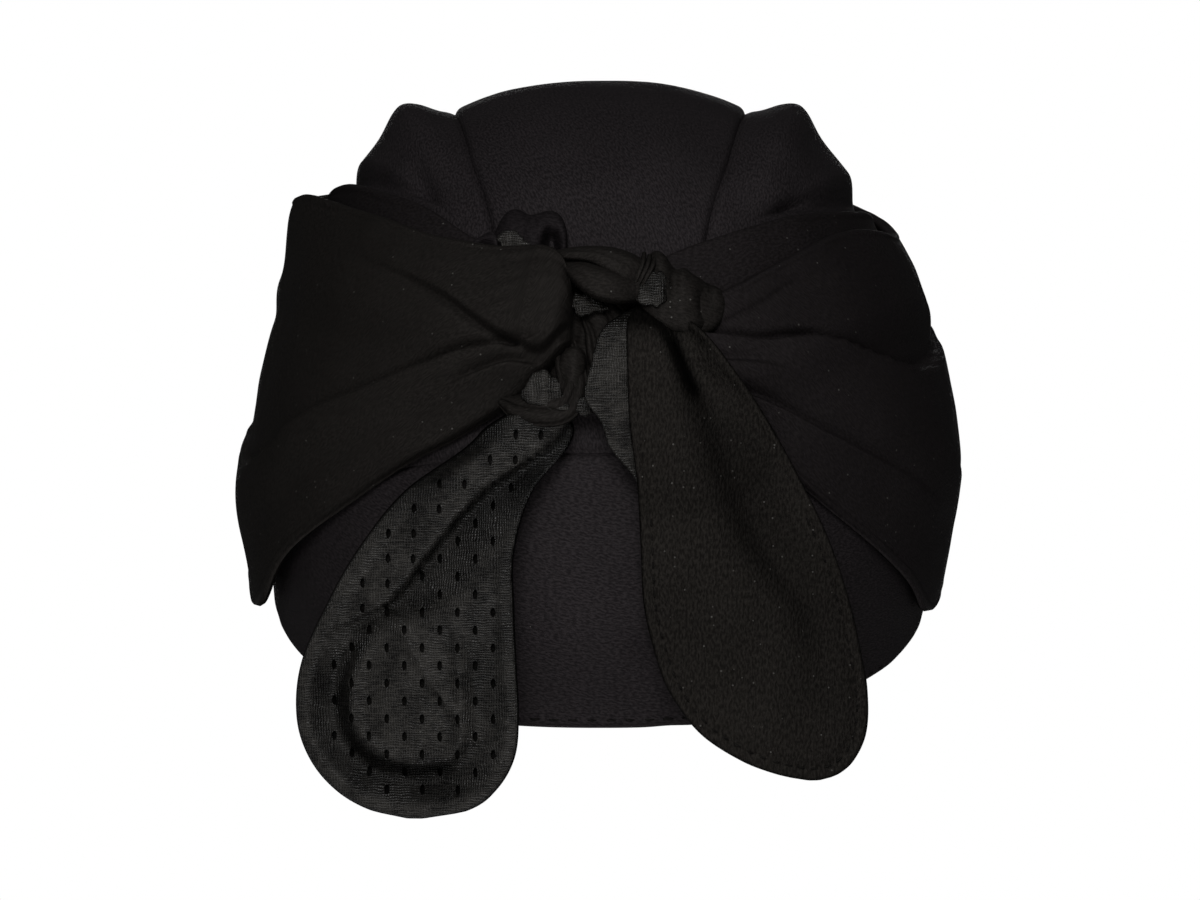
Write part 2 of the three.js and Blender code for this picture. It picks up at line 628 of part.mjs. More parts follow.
function band(side, grow) {
  const table = bandTable(side);
  const columns = tablePlaces(table, 'round', LONGEST_STEP);
  const rows = side < 0 ? LEFT_BAND_ROWS : RIGHT_BAND_ROWS;
  const growDegrees = THREE.MathUtils.radToDeg(grow / HEAD_HALF_LENGTH);
  return sheet(columns, rows, (round, share, outer) => {
    const low = readTable(table, 'round', 'low', round) - growDegrees;
    const high = readTable(table, 'round', 'high', round) + growDegrees;
    const faces = bandFaces(side, round, share);
    const place = round === columns[0] ? round - growDegrees : round;
    return clothPoint(aroundRim(side * place, mix(low, high, share)),
      outer ? faces.outer + grow : faces.inner - grow);
  });
}

function backGather() {
  const columns = tablePlaces(BACK_GATHER, 'round', GATHER_STEP);
  return sheet(columns, [0, 1, 1.3, 1.6, 1.85, 2], (round, row, outer) => {
    const edge = readTable(LEFT_BAND, 'round', 'high', round) + EDGE_MARGIN / 2;
    const high = readTable(BACK_GATHER, 'round', 'high', round);
    const swell = readTable(BACK_GATHER, 'round', 'swell', round);
    const rise = row < 1 ? mix(GATHER_LOW, edge, row) : mix(edge, Math.max(edge, high), row - 1);
    const lift = GATHER_SWELL * swell * ease(row, 1, 1.6) * (1 - ease(row, 1.6, 2.2));
    return clothPoint(aroundRim(-round, rise), outer ? FOLD_HIGH + lift : FOLD_LOW);
  });
}

// Tie ends, and how far the head form reaches back from its rim's centre
const KNOT_CENTRE = clothPoint(aroundRim(0, KNOT_RISE), 0);
const DUAL_POWER = ROUND_SQUARENESS / (ROUND_SQUARENESS - 1);
const REAR_REACH = ((HEAD_HALF_LENGTH * Math.cos(TILT)) ** DUAL_POWER
  + (CROWN_HEIGHT * Math.sin(TILT)) ** DUAL_POWER) ** (1 / DUAL_POWER);

// Point of a tie end: it hangs straight, and where the cap is in the way it lies over it
function tailPoint(x, z, over, layer) {
  const sweep = TAIL_SWEEP * (x / HEAD_HALF_WIDTH) ** 2;
  const tuck = TAIL_TUCK * Math.max(0, KNOT_CENTRE.z - KNOT_SIZE - z);
  const point = new THREE.Vector3(x, sweep + tuck - REAR_REACH - TAIL_STAND, z);
  for (let step = 0; step < 5; step += 1) {
    const height = heightOver(point);
    const missing = over - height.outside;
    if (missing > 0 && height.outward.y < -0.2) {
      point.y += missing / height.outward.y;
    }
  }
  point.y -= layer;
  return point;
}

// How far the cloth of a tie end is raised beside its long fold, at a share of its width
function foldRaise(side, drop, share) {
  const table = side < 0 ? LEFT_TAIL : RIGHT_TAIL;
  const past = share - readTable(table, 'drop', 'fold', drop);
  const deep = TAIL_FOLD * readTable(table, 'drop', 'deep', drop);
  return side < 0 ? deep * (1 - ease(past, -0.07, 0.07)) : deep * (1 - Math.exp(-((past / 0.16) ** 2)));
}

const LEFT_TAIL_TOP = KNOT_CENTRE.z - KNOT_SIZE * 0.52;
const RIGHT_TAIL_TOP = KNOT_CENTRE.z + KNOT_SIZE * 0.13;
const ACROSS_TAIL = [0, 0.13, 0.3, 0.44, 0.56, 0.7, 0.87, 1];
const TAIL_STEP = 0.12;

function tail(side, layer, wall, inset, grow) {
  const table = side < 0 ? LEFT_TAIL : RIGHT_TAIL;
  const length = side < 0 ? LEFT_TAIL_LENGTH : RIGHT_TAIL_LENGTH;
  const width = side < 0 ? LEFT_TAIL_WIDTH : RIGHT_TAIL_WIDTH;
  const top = side < 0 ? LEFT_TAIL_TOP : RIGHT_TAIL_TOP;
  return sheet(tablePlaces(table, 'drop', TAIL_STEP), ACROSS_TAIL, (drop, share, outer) => {
    const over = readTable(table, 'drop', 'over', drop) * KNOT_DEPTH;
    const left = readTable(table, 'drop', 'left', drop) * width + inset - grow;
    const right = readTable(table, 'drop', 'right', drop) * width - inset + grow;
    const x = KNOT_CENTRE.x + mix(left, Math.max(left, right), share);
    const z = top - inset + grow - drop * (length - 2 * inset + 2 * grow);
    const raise = layer + foldRaise(side, drop, share);
    return tailPoint(x, z, over, outer ? raise + wall + grow : raise - grow);
  });
}

// Strip of the right tie end's lining that is turned out past the cloth's left edge
function turnedStrip(grow) {
  const places = tablePlaces(TURNED_STRIP.slice(0, -1), 'drop', TAIL_STEP / 2);
  return sheet(places, [0, 0.5, 1], (drop, share, outer) => {
    const edge = readTable(RIGHT_TAIL, 'drop', 'left', drop) * RIGHT_TAIL_WIDTH;
    const past = readTable(TURNED_STRIP, 'drop', 'past', drop) * RIGHT_TAIL_WIDTH;
    const over = readTable(RIGHT_TAIL, 'drop', 'over', drop) * KNOT_DEPTH;
    const x = KNOT_CENTRE.x + mix(edge - past - grow, edge + STRIP_UNDERLAP, share);
    const z = RIGHT_TAIL_TOP + 1.5 * grow - drop * RIGHT_TAIL_LENGTH;
    const layer = foldRaise(1, drop, 0) * share - STRIP_SINK;
    return tailPoint(x, z, over, outer ? layer + LINING_WALL + grow : layer - grow);
  });
}

// Eyelets cut through a lining that faces the back, in staggered rows
function eyeletCutter(x, z) {
  const outline = new THREE.Shape([
    new THREE.Vector2(-EYELET_WIDTH / 2, 0),
    new THREE.Vector2(0, -EYELET_HEIGHT / 2),
    new THREE.Vector2(EYELET_WIDTH / 2, 0),
    new THREE.Vector2(0, EYELET_HEIGHT / 2),
  ]);
  const depth = 2 * HEAD_HALF_LENGTH;
  const prism = new THREE.ExtrudeGeometry(outline, { depth, bevelEnabled: false, steps: 1 });
  prism.rotateX(Math.PI / 2);
  prism.translate(x, 0, z);
  prism.deleteAttribute('normal');
  prism.deleteAttribute('uv');
  return mergeVertices(prism, 1e-4);
}

function pierced(geometry, length, top, table, width) {
  let solid = toSolid(geometry);
  const cutters = [];
  const rowCount = Math.floor(2 * length / MESH_PITCH);
  for (let row = 0; row < rowCount; row += 1) {
    const z = top - EYELET_EDGE - row * MESH_PITCH / 2;
    const drop = (top - z) / length;
    const left = readTable(table, 'drop', 'left', drop) * width + EYELET_EDGE;
    const right = readTable(table, 'drop', 'right', drop) * width - EYELET_EDGE;
    const offset = (row % 2) * MESH_PITCH / 2;
    const first = Math.ceil((left - offset) / MESH_PITCH);
    const last = Math.floor((right - offset) / MESH_PITCH);
    for (let column = first; column <= last; column += 1) {
      const nearTip = top - length + EYELET_EDGE > z;
      if (!nearTip) {
        cutters.push(toSolid(eyeletCutter(KNOT_CENTRE.x + column * MESH_PITCH + offset, z)));
      }
    }
  }
  solid = solid.subtract(wasm.Manifold.union(cutters));
  return toGeometry(solid);
}

// Colours and finishes
const capCloth = { color: 0x18161b, roughness: 0.92, metalness: 0 };
const bandCloth = { color: 0x151513, roughness: 0.94, metalness: 0 };
const liningCloth = { color: 0x2b292b, roughness: 0.6, metalness: 0 };

const headwrap = new THREE.Group();

function addPiece(name, geometry, finish) {
  geometry.computeVertexNormals();
  const mesh = new THREE.Mesh(geometry, new THREE.MeshStandardMaterial(finish));
  mesh.name = name;
  headwrap.add(mesh);
}

addPiece('crown_centre_panel', centrePanel(), capCloth);
addPiece('crown_side_panel_left', sidePanel(-1), capCloth);
addPiece('crown_side_panel_right', sidePanel(1), capCloth);
addPiece('nape_panel', napePanel(), capCloth);
addPiece('under_fold_left', innerFold(-1), bandCloth);
addPiece('under_fold_right', innerFold(1), bandCloth);

// Bands and tie ends keep their whole form, and the rolls of the knot are trimmed to lie against them
const liningLayer = LAYER_GAP + TAIL_WALL;
addPiece('wrap_left', band(-1, 0), bandCloth);
addPiece('wrap_right', band(1, 0), bandCloth);
addPiece('tail_left', tail(-1, 0, TAIL_WALL, 0, 0), bandCloth);
addPiece('tail_left_lining', pierced(
  tail(-1, liningLayer, LINING_WALL, LINING_INSET, 0),
  LEFT_TAIL_LENGTH, LEFT_TAIL_TOP, LEFT_TAIL, LEFT_TAIL_WIDTH), liningCloth);
addPiece('tail_right_lining', joined(
  tail(1, 0, LINING_WALL, LINING_INSET, 0), turnedStrip(0)), liningCloth);
addPiece('tail_right', tail(1, LAYER_GAP + LINING_WALL, TAIL_WALL, 0, 0), bandCloth);

const grownBands = [band(-1, CLEARANCE), band(1, CLEARANCE)];
const grownTails = [
  tail(-1, 0, liningLayer + LINING_WALL, 0, CLEARANCE),
  tail(1, 0, LAYER_GAP + LINING_WALL + TAIL_WALL, 0, CLEARANCE),
];
const around = [...grownBands, ...grownTails, turnedStrip(2 * CLEARANCE)];
addPiece('knot_back_gather', backGather(), bandCloth);
const rolls = [
  ['knot_core', KNOT_CORE],
  ['knot_lower_loop', LOWER_LOOP],
  ['knot_top_loop', TOP_LOOP],
  ['knot_right_collar', RIGHT_COLLAR],
];
for (const [name, course] of rolls) {
  addPiece(name, trimmed(roll(course, KNOT_CENTRE, 0), around), bandCloth);
  around.push(roll(course, KNOT_CENTRE, CLEARANCE));
}

export default headwrap;
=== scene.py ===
"""Looks of a turban headwrap: fine cloth, stitching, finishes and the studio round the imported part.

Metres, +Z up, in the part's own frame. The origin is the centre of the head opening, +Y is the
wearer's front, and the knot is on the -Y side. Left and right are as seen from behind the wearer.
"""

import logging
import math
from dataclasses import dataclass, replace
from enum import Enum
from typing import Sequence

import bpy
import numpy as np
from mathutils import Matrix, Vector
from mathutils.geometry import delaunay_2d_cdt

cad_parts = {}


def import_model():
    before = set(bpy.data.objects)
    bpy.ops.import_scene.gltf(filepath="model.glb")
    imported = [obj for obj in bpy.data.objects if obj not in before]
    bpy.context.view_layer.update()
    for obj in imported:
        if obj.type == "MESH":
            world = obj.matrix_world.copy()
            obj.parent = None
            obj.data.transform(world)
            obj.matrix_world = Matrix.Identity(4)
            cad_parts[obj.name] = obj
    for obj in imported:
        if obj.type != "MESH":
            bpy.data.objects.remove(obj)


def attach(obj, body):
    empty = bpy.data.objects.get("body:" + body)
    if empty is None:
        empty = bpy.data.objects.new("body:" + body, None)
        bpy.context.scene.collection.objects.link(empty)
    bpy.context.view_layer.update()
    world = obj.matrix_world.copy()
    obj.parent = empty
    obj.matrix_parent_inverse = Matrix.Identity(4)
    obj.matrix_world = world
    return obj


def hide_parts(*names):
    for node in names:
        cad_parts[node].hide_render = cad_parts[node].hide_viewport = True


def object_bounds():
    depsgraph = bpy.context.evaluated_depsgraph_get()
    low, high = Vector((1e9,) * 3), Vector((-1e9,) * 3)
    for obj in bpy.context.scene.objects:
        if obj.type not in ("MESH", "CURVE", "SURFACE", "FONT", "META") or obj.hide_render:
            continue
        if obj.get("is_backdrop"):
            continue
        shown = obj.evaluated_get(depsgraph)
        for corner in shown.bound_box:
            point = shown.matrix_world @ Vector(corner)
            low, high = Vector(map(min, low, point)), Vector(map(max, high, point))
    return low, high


log = logging.getLogger("headwrap")


class Side(Enum):
    """Side of the headwrap as seen from behind."""

    LEFT = -1
    RIGHT = 1

    @property
    def word(self) -> str:
        """The side's name as the nodes spell it."""
        return self.name.lower()


class Slot(Enum):
    """Material slots of the record."""

    CAP = "cap_cloth"
    BAND = "band_cloth"
    LINING = "lining_mesh"


def ease(value: np.ndarray, low: float, high: float) -> np.ndarray:
    """Rise smoothly from 0 at low to 1 at high.

    Args:
        value: where to read the rise.
        low: value at which it starts.
        high: value at which it ends.

    Returns:
        The share risen, from 0 to 1.
    """
    share = np.clip((value - low) / (high - low), 0.0, 1.0)
    return share * share * (3 - 2 * share)


def bump(value: np.ndarray, centre: float, half: float) -> np.ndarray:
    """A soft hump of height 1 round a centre, of the given half width."""
    return np.exp(-(((value - centre) / half) ** 2))


def mix(start: np.ndarray, end: np.ndarray, share: np.ndarray) -> np.ndarray:
    """Blend from start to end by a share."""
    return start + (end - start) * share


class Course:
    """A smooth curve through a small table: its first column is the place, the others are read."""

    def __init__(self, names: str, rows: Sequence[Sequence[float]]) -> None:
        """Keep the table.

        Args:
            names: the names of the columns after the first, split by spaces.
            rows: one row for each place, in rising order.
        """
        table = np.array(rows, dtype=float)
        self.places = table[:, 0]
        self.columns = {name: table[:, i + 1] for i, name in enumerate(names.split())}

    def read(self, name: str, place: np.ndarray) -> np.ndarray:
        """Read one column along the curve.

        Args:
            name: the column.
            place: where to read it.

        Returns:
            The column's values there.
        """
        place = np.asarray(place, dtype=float)
        values = self.columns[name]
        last = len(values) - 1
        low = np.clip(np.searchsorted(self.places, place, side="right") - 1, 0, last - 1)
        before = np.maximum(low - 1, 0)
        after = np.minimum(low + 2, last)
        span = self.places[low + 1] - self.places[low]
        share = np.clip((place - self.places[low]) / span, 0, 1)
        start_slope = span * (values[low + 1] - values[before])
        start_slope = start_slope / (self.places[low + 1] - self.places[before])
        end_slope = span * (values[after] - values[low])
        end_slope = end_slope / (self.places[after] - self.places[low])
        square = share * share
        cube = square * share
        return (
            (2 * cube - 3 * square + 1) * values[low]
            + (cube - 2 * square + share) * start_slope
            + (3 * square - 2 * cube) * values[low + 1]
            + (cube - square) * end_slope
        )


def lattice_value(cell: np.ndarray, seed: int) -> np.ndarray:
    """A repeatable value from -1 to 1 for each whole-number cell.

    Args:
        cell: whole numbers, three to a cell.
        seed: chooses the pattern.

    Returns:
        One value a cell.
    """
    mask = 0xFFFFFFFF
    mixed = (cell[..., 0] * 374761393 + cell[..., 1] * 668265263) & mask
    mixed = (mixed + cell[..., 2] * 1103515245 + seed * 1274126177) & mask
    mixed = ((mixed ^ (mixed >> 13)) * 1274126177) & mask
    mixed = mixed ^ (mixed >> 16)
    return mixed / mask * 2 - 1


def wander(points: np.ndarray, size: Sequence[float], seed: int) -> np.ndarray:
    """Smooth unevenness over space.

    Args:
        points: places, with three numbers each.
        size: the length of one wave along each of the three.
        seed: chooses the pattern.

    Returns:
        A value from -1 to 1 at each place.
    """
    scaled = points / np.asarray(size)
    cell = np.floor(scaled).astype(np.int64)
    share = scaled - cell
    share = share * share * (3 - 2 * share)
    total = np.zeros(points.shape[:-1])
    for corner in np.ndindex(2, 2, 2):
        weight = np.ones(points.shape[:-1])
        for axis, step in enumerate(corner):
            weight = weight * (share[..., axis] if step else 1 - share[..., axis])
        total += weight * lattice_value(cell + np.array(corner), seed)
    return total


def around_rim(turn: np.ndarray, rise: np.ndarray) -> np.ndarray:
    """Direction from the turn about the rim, 0 at the nape, and the rise above it, in degrees."""
    turn, rise = np.radians(turn), np.radians(rise)
    level = np.cos(rise)
    return np.stack([level * np.sin(turn), -level * np.cos(turn), np.sin(rise)], axis=-1)


def over_crown(aside: np.ndarray, turn: np.ndarray) -> np.ndarray:
    """Direction from the angle aside of the middle and the turn from nape to brow, in degrees."""
    aside, turn = np.radians(aside), np.radians(turn)
    middle = np.cos(aside)
    return np.stack([np.sin(aside), -middle * np.cos(turn), middle * np.sin(turn)], axis=-1)


@dataclass(frozen=True)
class HeadForm:
    """The form inside the cap, measured from the centre of its rim."""

    half_width: float = 0.082
    half_length: float = 0.097
    crown_height: float = 0.124
    rim_tilt: float = 21.5
    side_squareness: float = 2.4
    round_squareness: float = 2.15
    rim_draw: float = 0.0026
    rim_draw_height: float = 0.026

    def tilted(self, points: np.ndarray, degrees: float) -> np.ndarray:
        """Points turned about the X axis."""
        sine, cosine = math.sin(math.radians(degrees)), math.cos(math.radians(degrees))
        y, z = points[..., 1], points[..., 2]
        return np.stack([points[..., 0], y * cosine - z * sine, y * sine + z * cosine], axis=-1)

    def form_at(self, points: np.ndarray) -> tuple[np.ndarray, np.ndarray, np.ndarray]:
        """Measure points in the rim's frame against the form.

        Args:
            points: places in the rim's frame.

        Returns:
            Each place's size against the form, its way out, and how far outside it is.
        """
        across = np.abs(points[..., 0]) / self.half_width
        along = np.maximum(np.abs(points[..., 1]) / self.half_length, 1e-9)
        up = np.maximum(np.abs(points[..., 2]) / self.crown_height, 1e-9)
        power = self.round_squareness
        arch = along**power + up**power
        ratio = self.side_squareness / power
        size = (across**self.side_squareness + arch**ratio) ** (1 / self.side_squareness)
        tied = arch ** (ratio - 1)
        sign = np.sign(points)
        outward = np.stack(
            [
                sign[..., 0] * across ** (self.side_squareness - 1) / self.half_width,
                tied * sign[..., 1] * along ** (power - 1) / self.half_length,
                tied * sign[..., 2] * up ** (power - 1) / self.crown_height,
            ],
            axis=-1,
        )
        length = np.linalg.norm(outward, axis=-1)
        steepness = length * size ** (1 - self.side_squareness)
        return size, outward / length[..., None], (size - 1) / steepness

    def surface(self, direction: np.ndarray, lift: np.ndarray) -> np.ndarray:
        """Points over the form in directions from the rim's centre, lifted off it."""
        reach = np.array([self.half_width, self.half_length, self.crown_height])
        points = direction * reach
        size, outward, _ = self.form_at(points)
        points = points / size[..., None]
        drawn = self.rim_draw * (1 - ease(points[..., 2], 0, self.rim_draw_height))
        points = points + outward * (lift - drawn)[..., None]
        return self.tilted(points, self.rim_tilt)

    def height_over(self, points: np.ndarray) -> tuple[np.ndarray, np.ndarray]:
        """How far outside the form points of the part's frame are, and the way out there."""
        _, outward, outside = self.form_at(self.tilted(points, -self.rim_tilt))
        return outside, self.tilted(outward, self.rim_tilt)

    def behind(self, x: np.ndarray, z: np.ndarray, lift: np.ndarray) -> np.ndarray:
        """Points behind the cap at given x and z that stand at a height over the form."""
        points = np.stack([x, -self.half_length - lift + 0 * x, z], axis=-1)
        for _ in range(8):
            outside, outward = self.height_over(points)
            points[..., 1] -= (outside - lift) / outward[..., 1]
        return points


FORM = HeadForm()
DEGREE = math.radians(1) * 0.105


def rolled(distance: np.ndarray, radius: float) -> np.ndarray:
    """Share of a wall's thickness at a distance from a free edge that is rolled to a radius."""
    inside = np.clip(distance / radius, 0, 1)
    return np.sqrt(1 - (1 - inside) ** 2)


def arc_lengths(points: np.ndarray, axis: int) -> np.ndarray:
    """Distance run along one axis of a grid of points."""
    steps = np.linalg.norm(np.diff(points, axis=axis), axis=-1)
    return np.concatenate([0 * steps.take([0], axis), np.cumsum(steps, axis=axis)], axis=axis)


@dataclass
class Fabric:
    """A closed piece of cloth, ready to become an object."""

    name: str
    node: str
    slot: Slot
    vertices: np.ndarray
    faces: np.ndarray
    uv: np.ndarray
    # painted shade: share of the colour kept at each point, darker in folds and under the knot; None
    # keeps it all
    shade: np.ndarray | None = None

    def volume(self) -> float:
        """Signed volume inside the faces."""
        corners = self.vertices[self.faces]
        total = 0.0
        for i in range(1, self.faces.shape[1] - 1):
            cross = np.cross(corners[:, i], corners[:, i + 1])
            total += float(np.einsum("ij,ij->", corners[:, 0], cross)) / 6
        return total

    def make(self, material: bpy.types.Material) -> bpy.types.Object:
        """Build the object, give it its finish and let it stand for its node.

        Args:
            material: the finish.

        Returns:
            The new object.
        """
        faces = self.faces if self.volume() > 0 else self.faces[:, ::-1]
        mesh = bpy.data.meshes.new(f"{self.name}_cloth")
        mesh.from_pydata(self.vertices.tolist(), [], faces.tolist())
        mesh.polygons.foreach_set("use_smooth", [True] * len(faces))
        layer = mesh.uv_layers.new(name="cloth")
        layer.data.foreach_set("uv", self.uv[faces.ravel()].ravel())
        # the painted shade goes onto the mesh as the point attribute shade
        shade = np.ones(len(self.vertices)) if self.shade is None else self.shade
        mesh.attributes.new("shade", "FLOAT", "POINT").data.foreach_set("value", shade)
        mesh.materials.append(material)
        mesh.update()
        piece = bpy.data.objects.new(mesh.name, mesh)
        bpy.context.collection.objects.link(piece)
        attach(piece, "root")
        if self.node:
            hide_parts(self.node)
        log.info("%s: %d faces", self.name, len(faces))
        return piece


def grid_cloth(
    name: str, node: str, slot: Slot, outer: np.ndarray, inner: np.ndarray
) -> Fabric:
    """Join an outer and an inner face, grids of the same size, into a closed cloth.

    Args:
        name: the piece's name.
        node: the node that it stands for.
        slot: its material slot.
        outer: points of the outer face, columns by rows.
        inner: points of the inner face.

    Returns:
        The closed cloth.
    """
    columns, rows = outer.shape[:2]
    index = np.arange(columns * rows).reshape(columns, rows)
    layer = columns * rows
    square = np.stack(
        [index[:-1, :-1], index[1:, :-1], index[1:, 1:], index[:-1, 1:]], axis=-1
    ).reshape(-1, 4)
    edge = np.concatenate([index[:-1, 0], index[-1, :-1], index[:0:-1, -1], index[0, :0:-1]])
    after = np.roll(edge, -1)
    wall = np.stack([edge, edge + layer, after + layer, after], axis=-1)
    faces = np.concatenate([square, square[:, ::-1] + layer, wall])
    along = arc_lengths(outer, 0)
    across = arc_lengths(outer, 1)
    uv = np.stack([along, across], axis=-1).reshape(-1, 2)
    vertices = np.concatenate([outer.reshape(-1, 3), inner.reshape(-1, 3)])
    return Fabric(name, node, slot, vertices, faces, np.concatenate([uv, uv]))


@dataclass(frozen=True)
class Crease:
    """A fold that runs along a band: the cloth on one side of it laps over the other."""

    course: Course
    raised_above: bool
    sharp: float
    hold: float
    gone: float
    dent_width: float = 0.0013

    def height(self, turn: np.ndarray, share: np.ndarray, width: np.ndarray) -> np.ndarray:
        """Height that the fold adds over a band.

        Args:
            turn: turn about the rim, in degrees.
            share: share of the band's width.
            width: the band's width there, in metres.

        Returns:
            The height at each place.
        """
        past = (share - self.course.read("share", turn)) * (1 if self.raised_above else -1)
        rise = self.course.read("rise", turn) * 0.001
        run = past * width
        stand = ease(run, -0.3 * self.sharp, 0.7 * self.sharp)
        stand = stand * (1 - ease(past, self.hold, self.gone))
        dent = self.course.read("dent", turn) * 0.001
        reach = np.where(run < 0, self.dent_width, 0.35 * self.dent_width)
        return rise * stand - dent * bump(run, 0, reach)


LEFT_BAND = Course(
    "low high gather",
    [
        (6, 43.6, 48.4, 0.72),
        (7.4, 42.7, 51.4, 0.9),
        (9.4, 41.4, 53.2, 1),
        (13.5, 38.3, 54.2, 0.95),
        (19, 35.2, 54, 0.8),
        (27, 31, 53.4, 0.58),
        (35, 27, 53, 0.4),
        (45, 20.8, 52.4, 0.25),
        (56, 13.4, 51.8, 0.15),
        (64, 6.2, 51, 0.1),
        (72, 2.4, 49.8, 0.05),
        (81, 1.2, 48.2, 0),
        (92, 1.2, 45.6, 0),
        (106, 1.2, 40.6, 0),
        (126, 1.2, 36.4, 0),
        (152, 1.2, 33.4, 0),
        (179.8, 1.2, 32.4, 0),
    ],
)
RIGHT_BAND = Course(
    "low high gather",
    [
        (8, 39, 47.4, 0.9),
        (15, 36, 47.6, 1),
        (24, 31.4, 47.7, 0.9),
        (31, 28, 48.1, 0.72),
        (40, 21.5, 48.8, 0.5),
        (49, 15.3, 49.1, 0.3),
        (58, 8.9, 49, 0.15),
        (65, 4, 48.5, 0.08),
        (74, 2, 47, 0),
        (86, 1.2, 43.6, 0),
        (99, 1.2, 39.4, 0),
        (124, 1.2, 35.6, 0),
        (152, 1.2, 33.2, 0),
        (179.8, 1.2, 32.4, 0),
    ],
)
LEFT_FOLD = Course(
    "high",
    [(20, 54.2), (33, 54.6), (53, 55.8), (68, 54.6), (91, 49.8), (106, 43.4), (124, 36.2)],
)
RIGHT_FOLD = Course(
    "high",
    [
        (11, 53),
        (20, 54.8),
        (35, 55.3),
        (51, 54.5),
        (62, 53.1),
        (76, 50.2),
        (94, 45.4),
        (105, 41.2),
        (124, 35.2),
    ],
)
SEAM = Course(
    "aside",
    [(31.8, 13.5), (50, 15.8), (64, 18), (80, 21.8), (107, 24.6), (140, 23.4), (180, 20)],
)


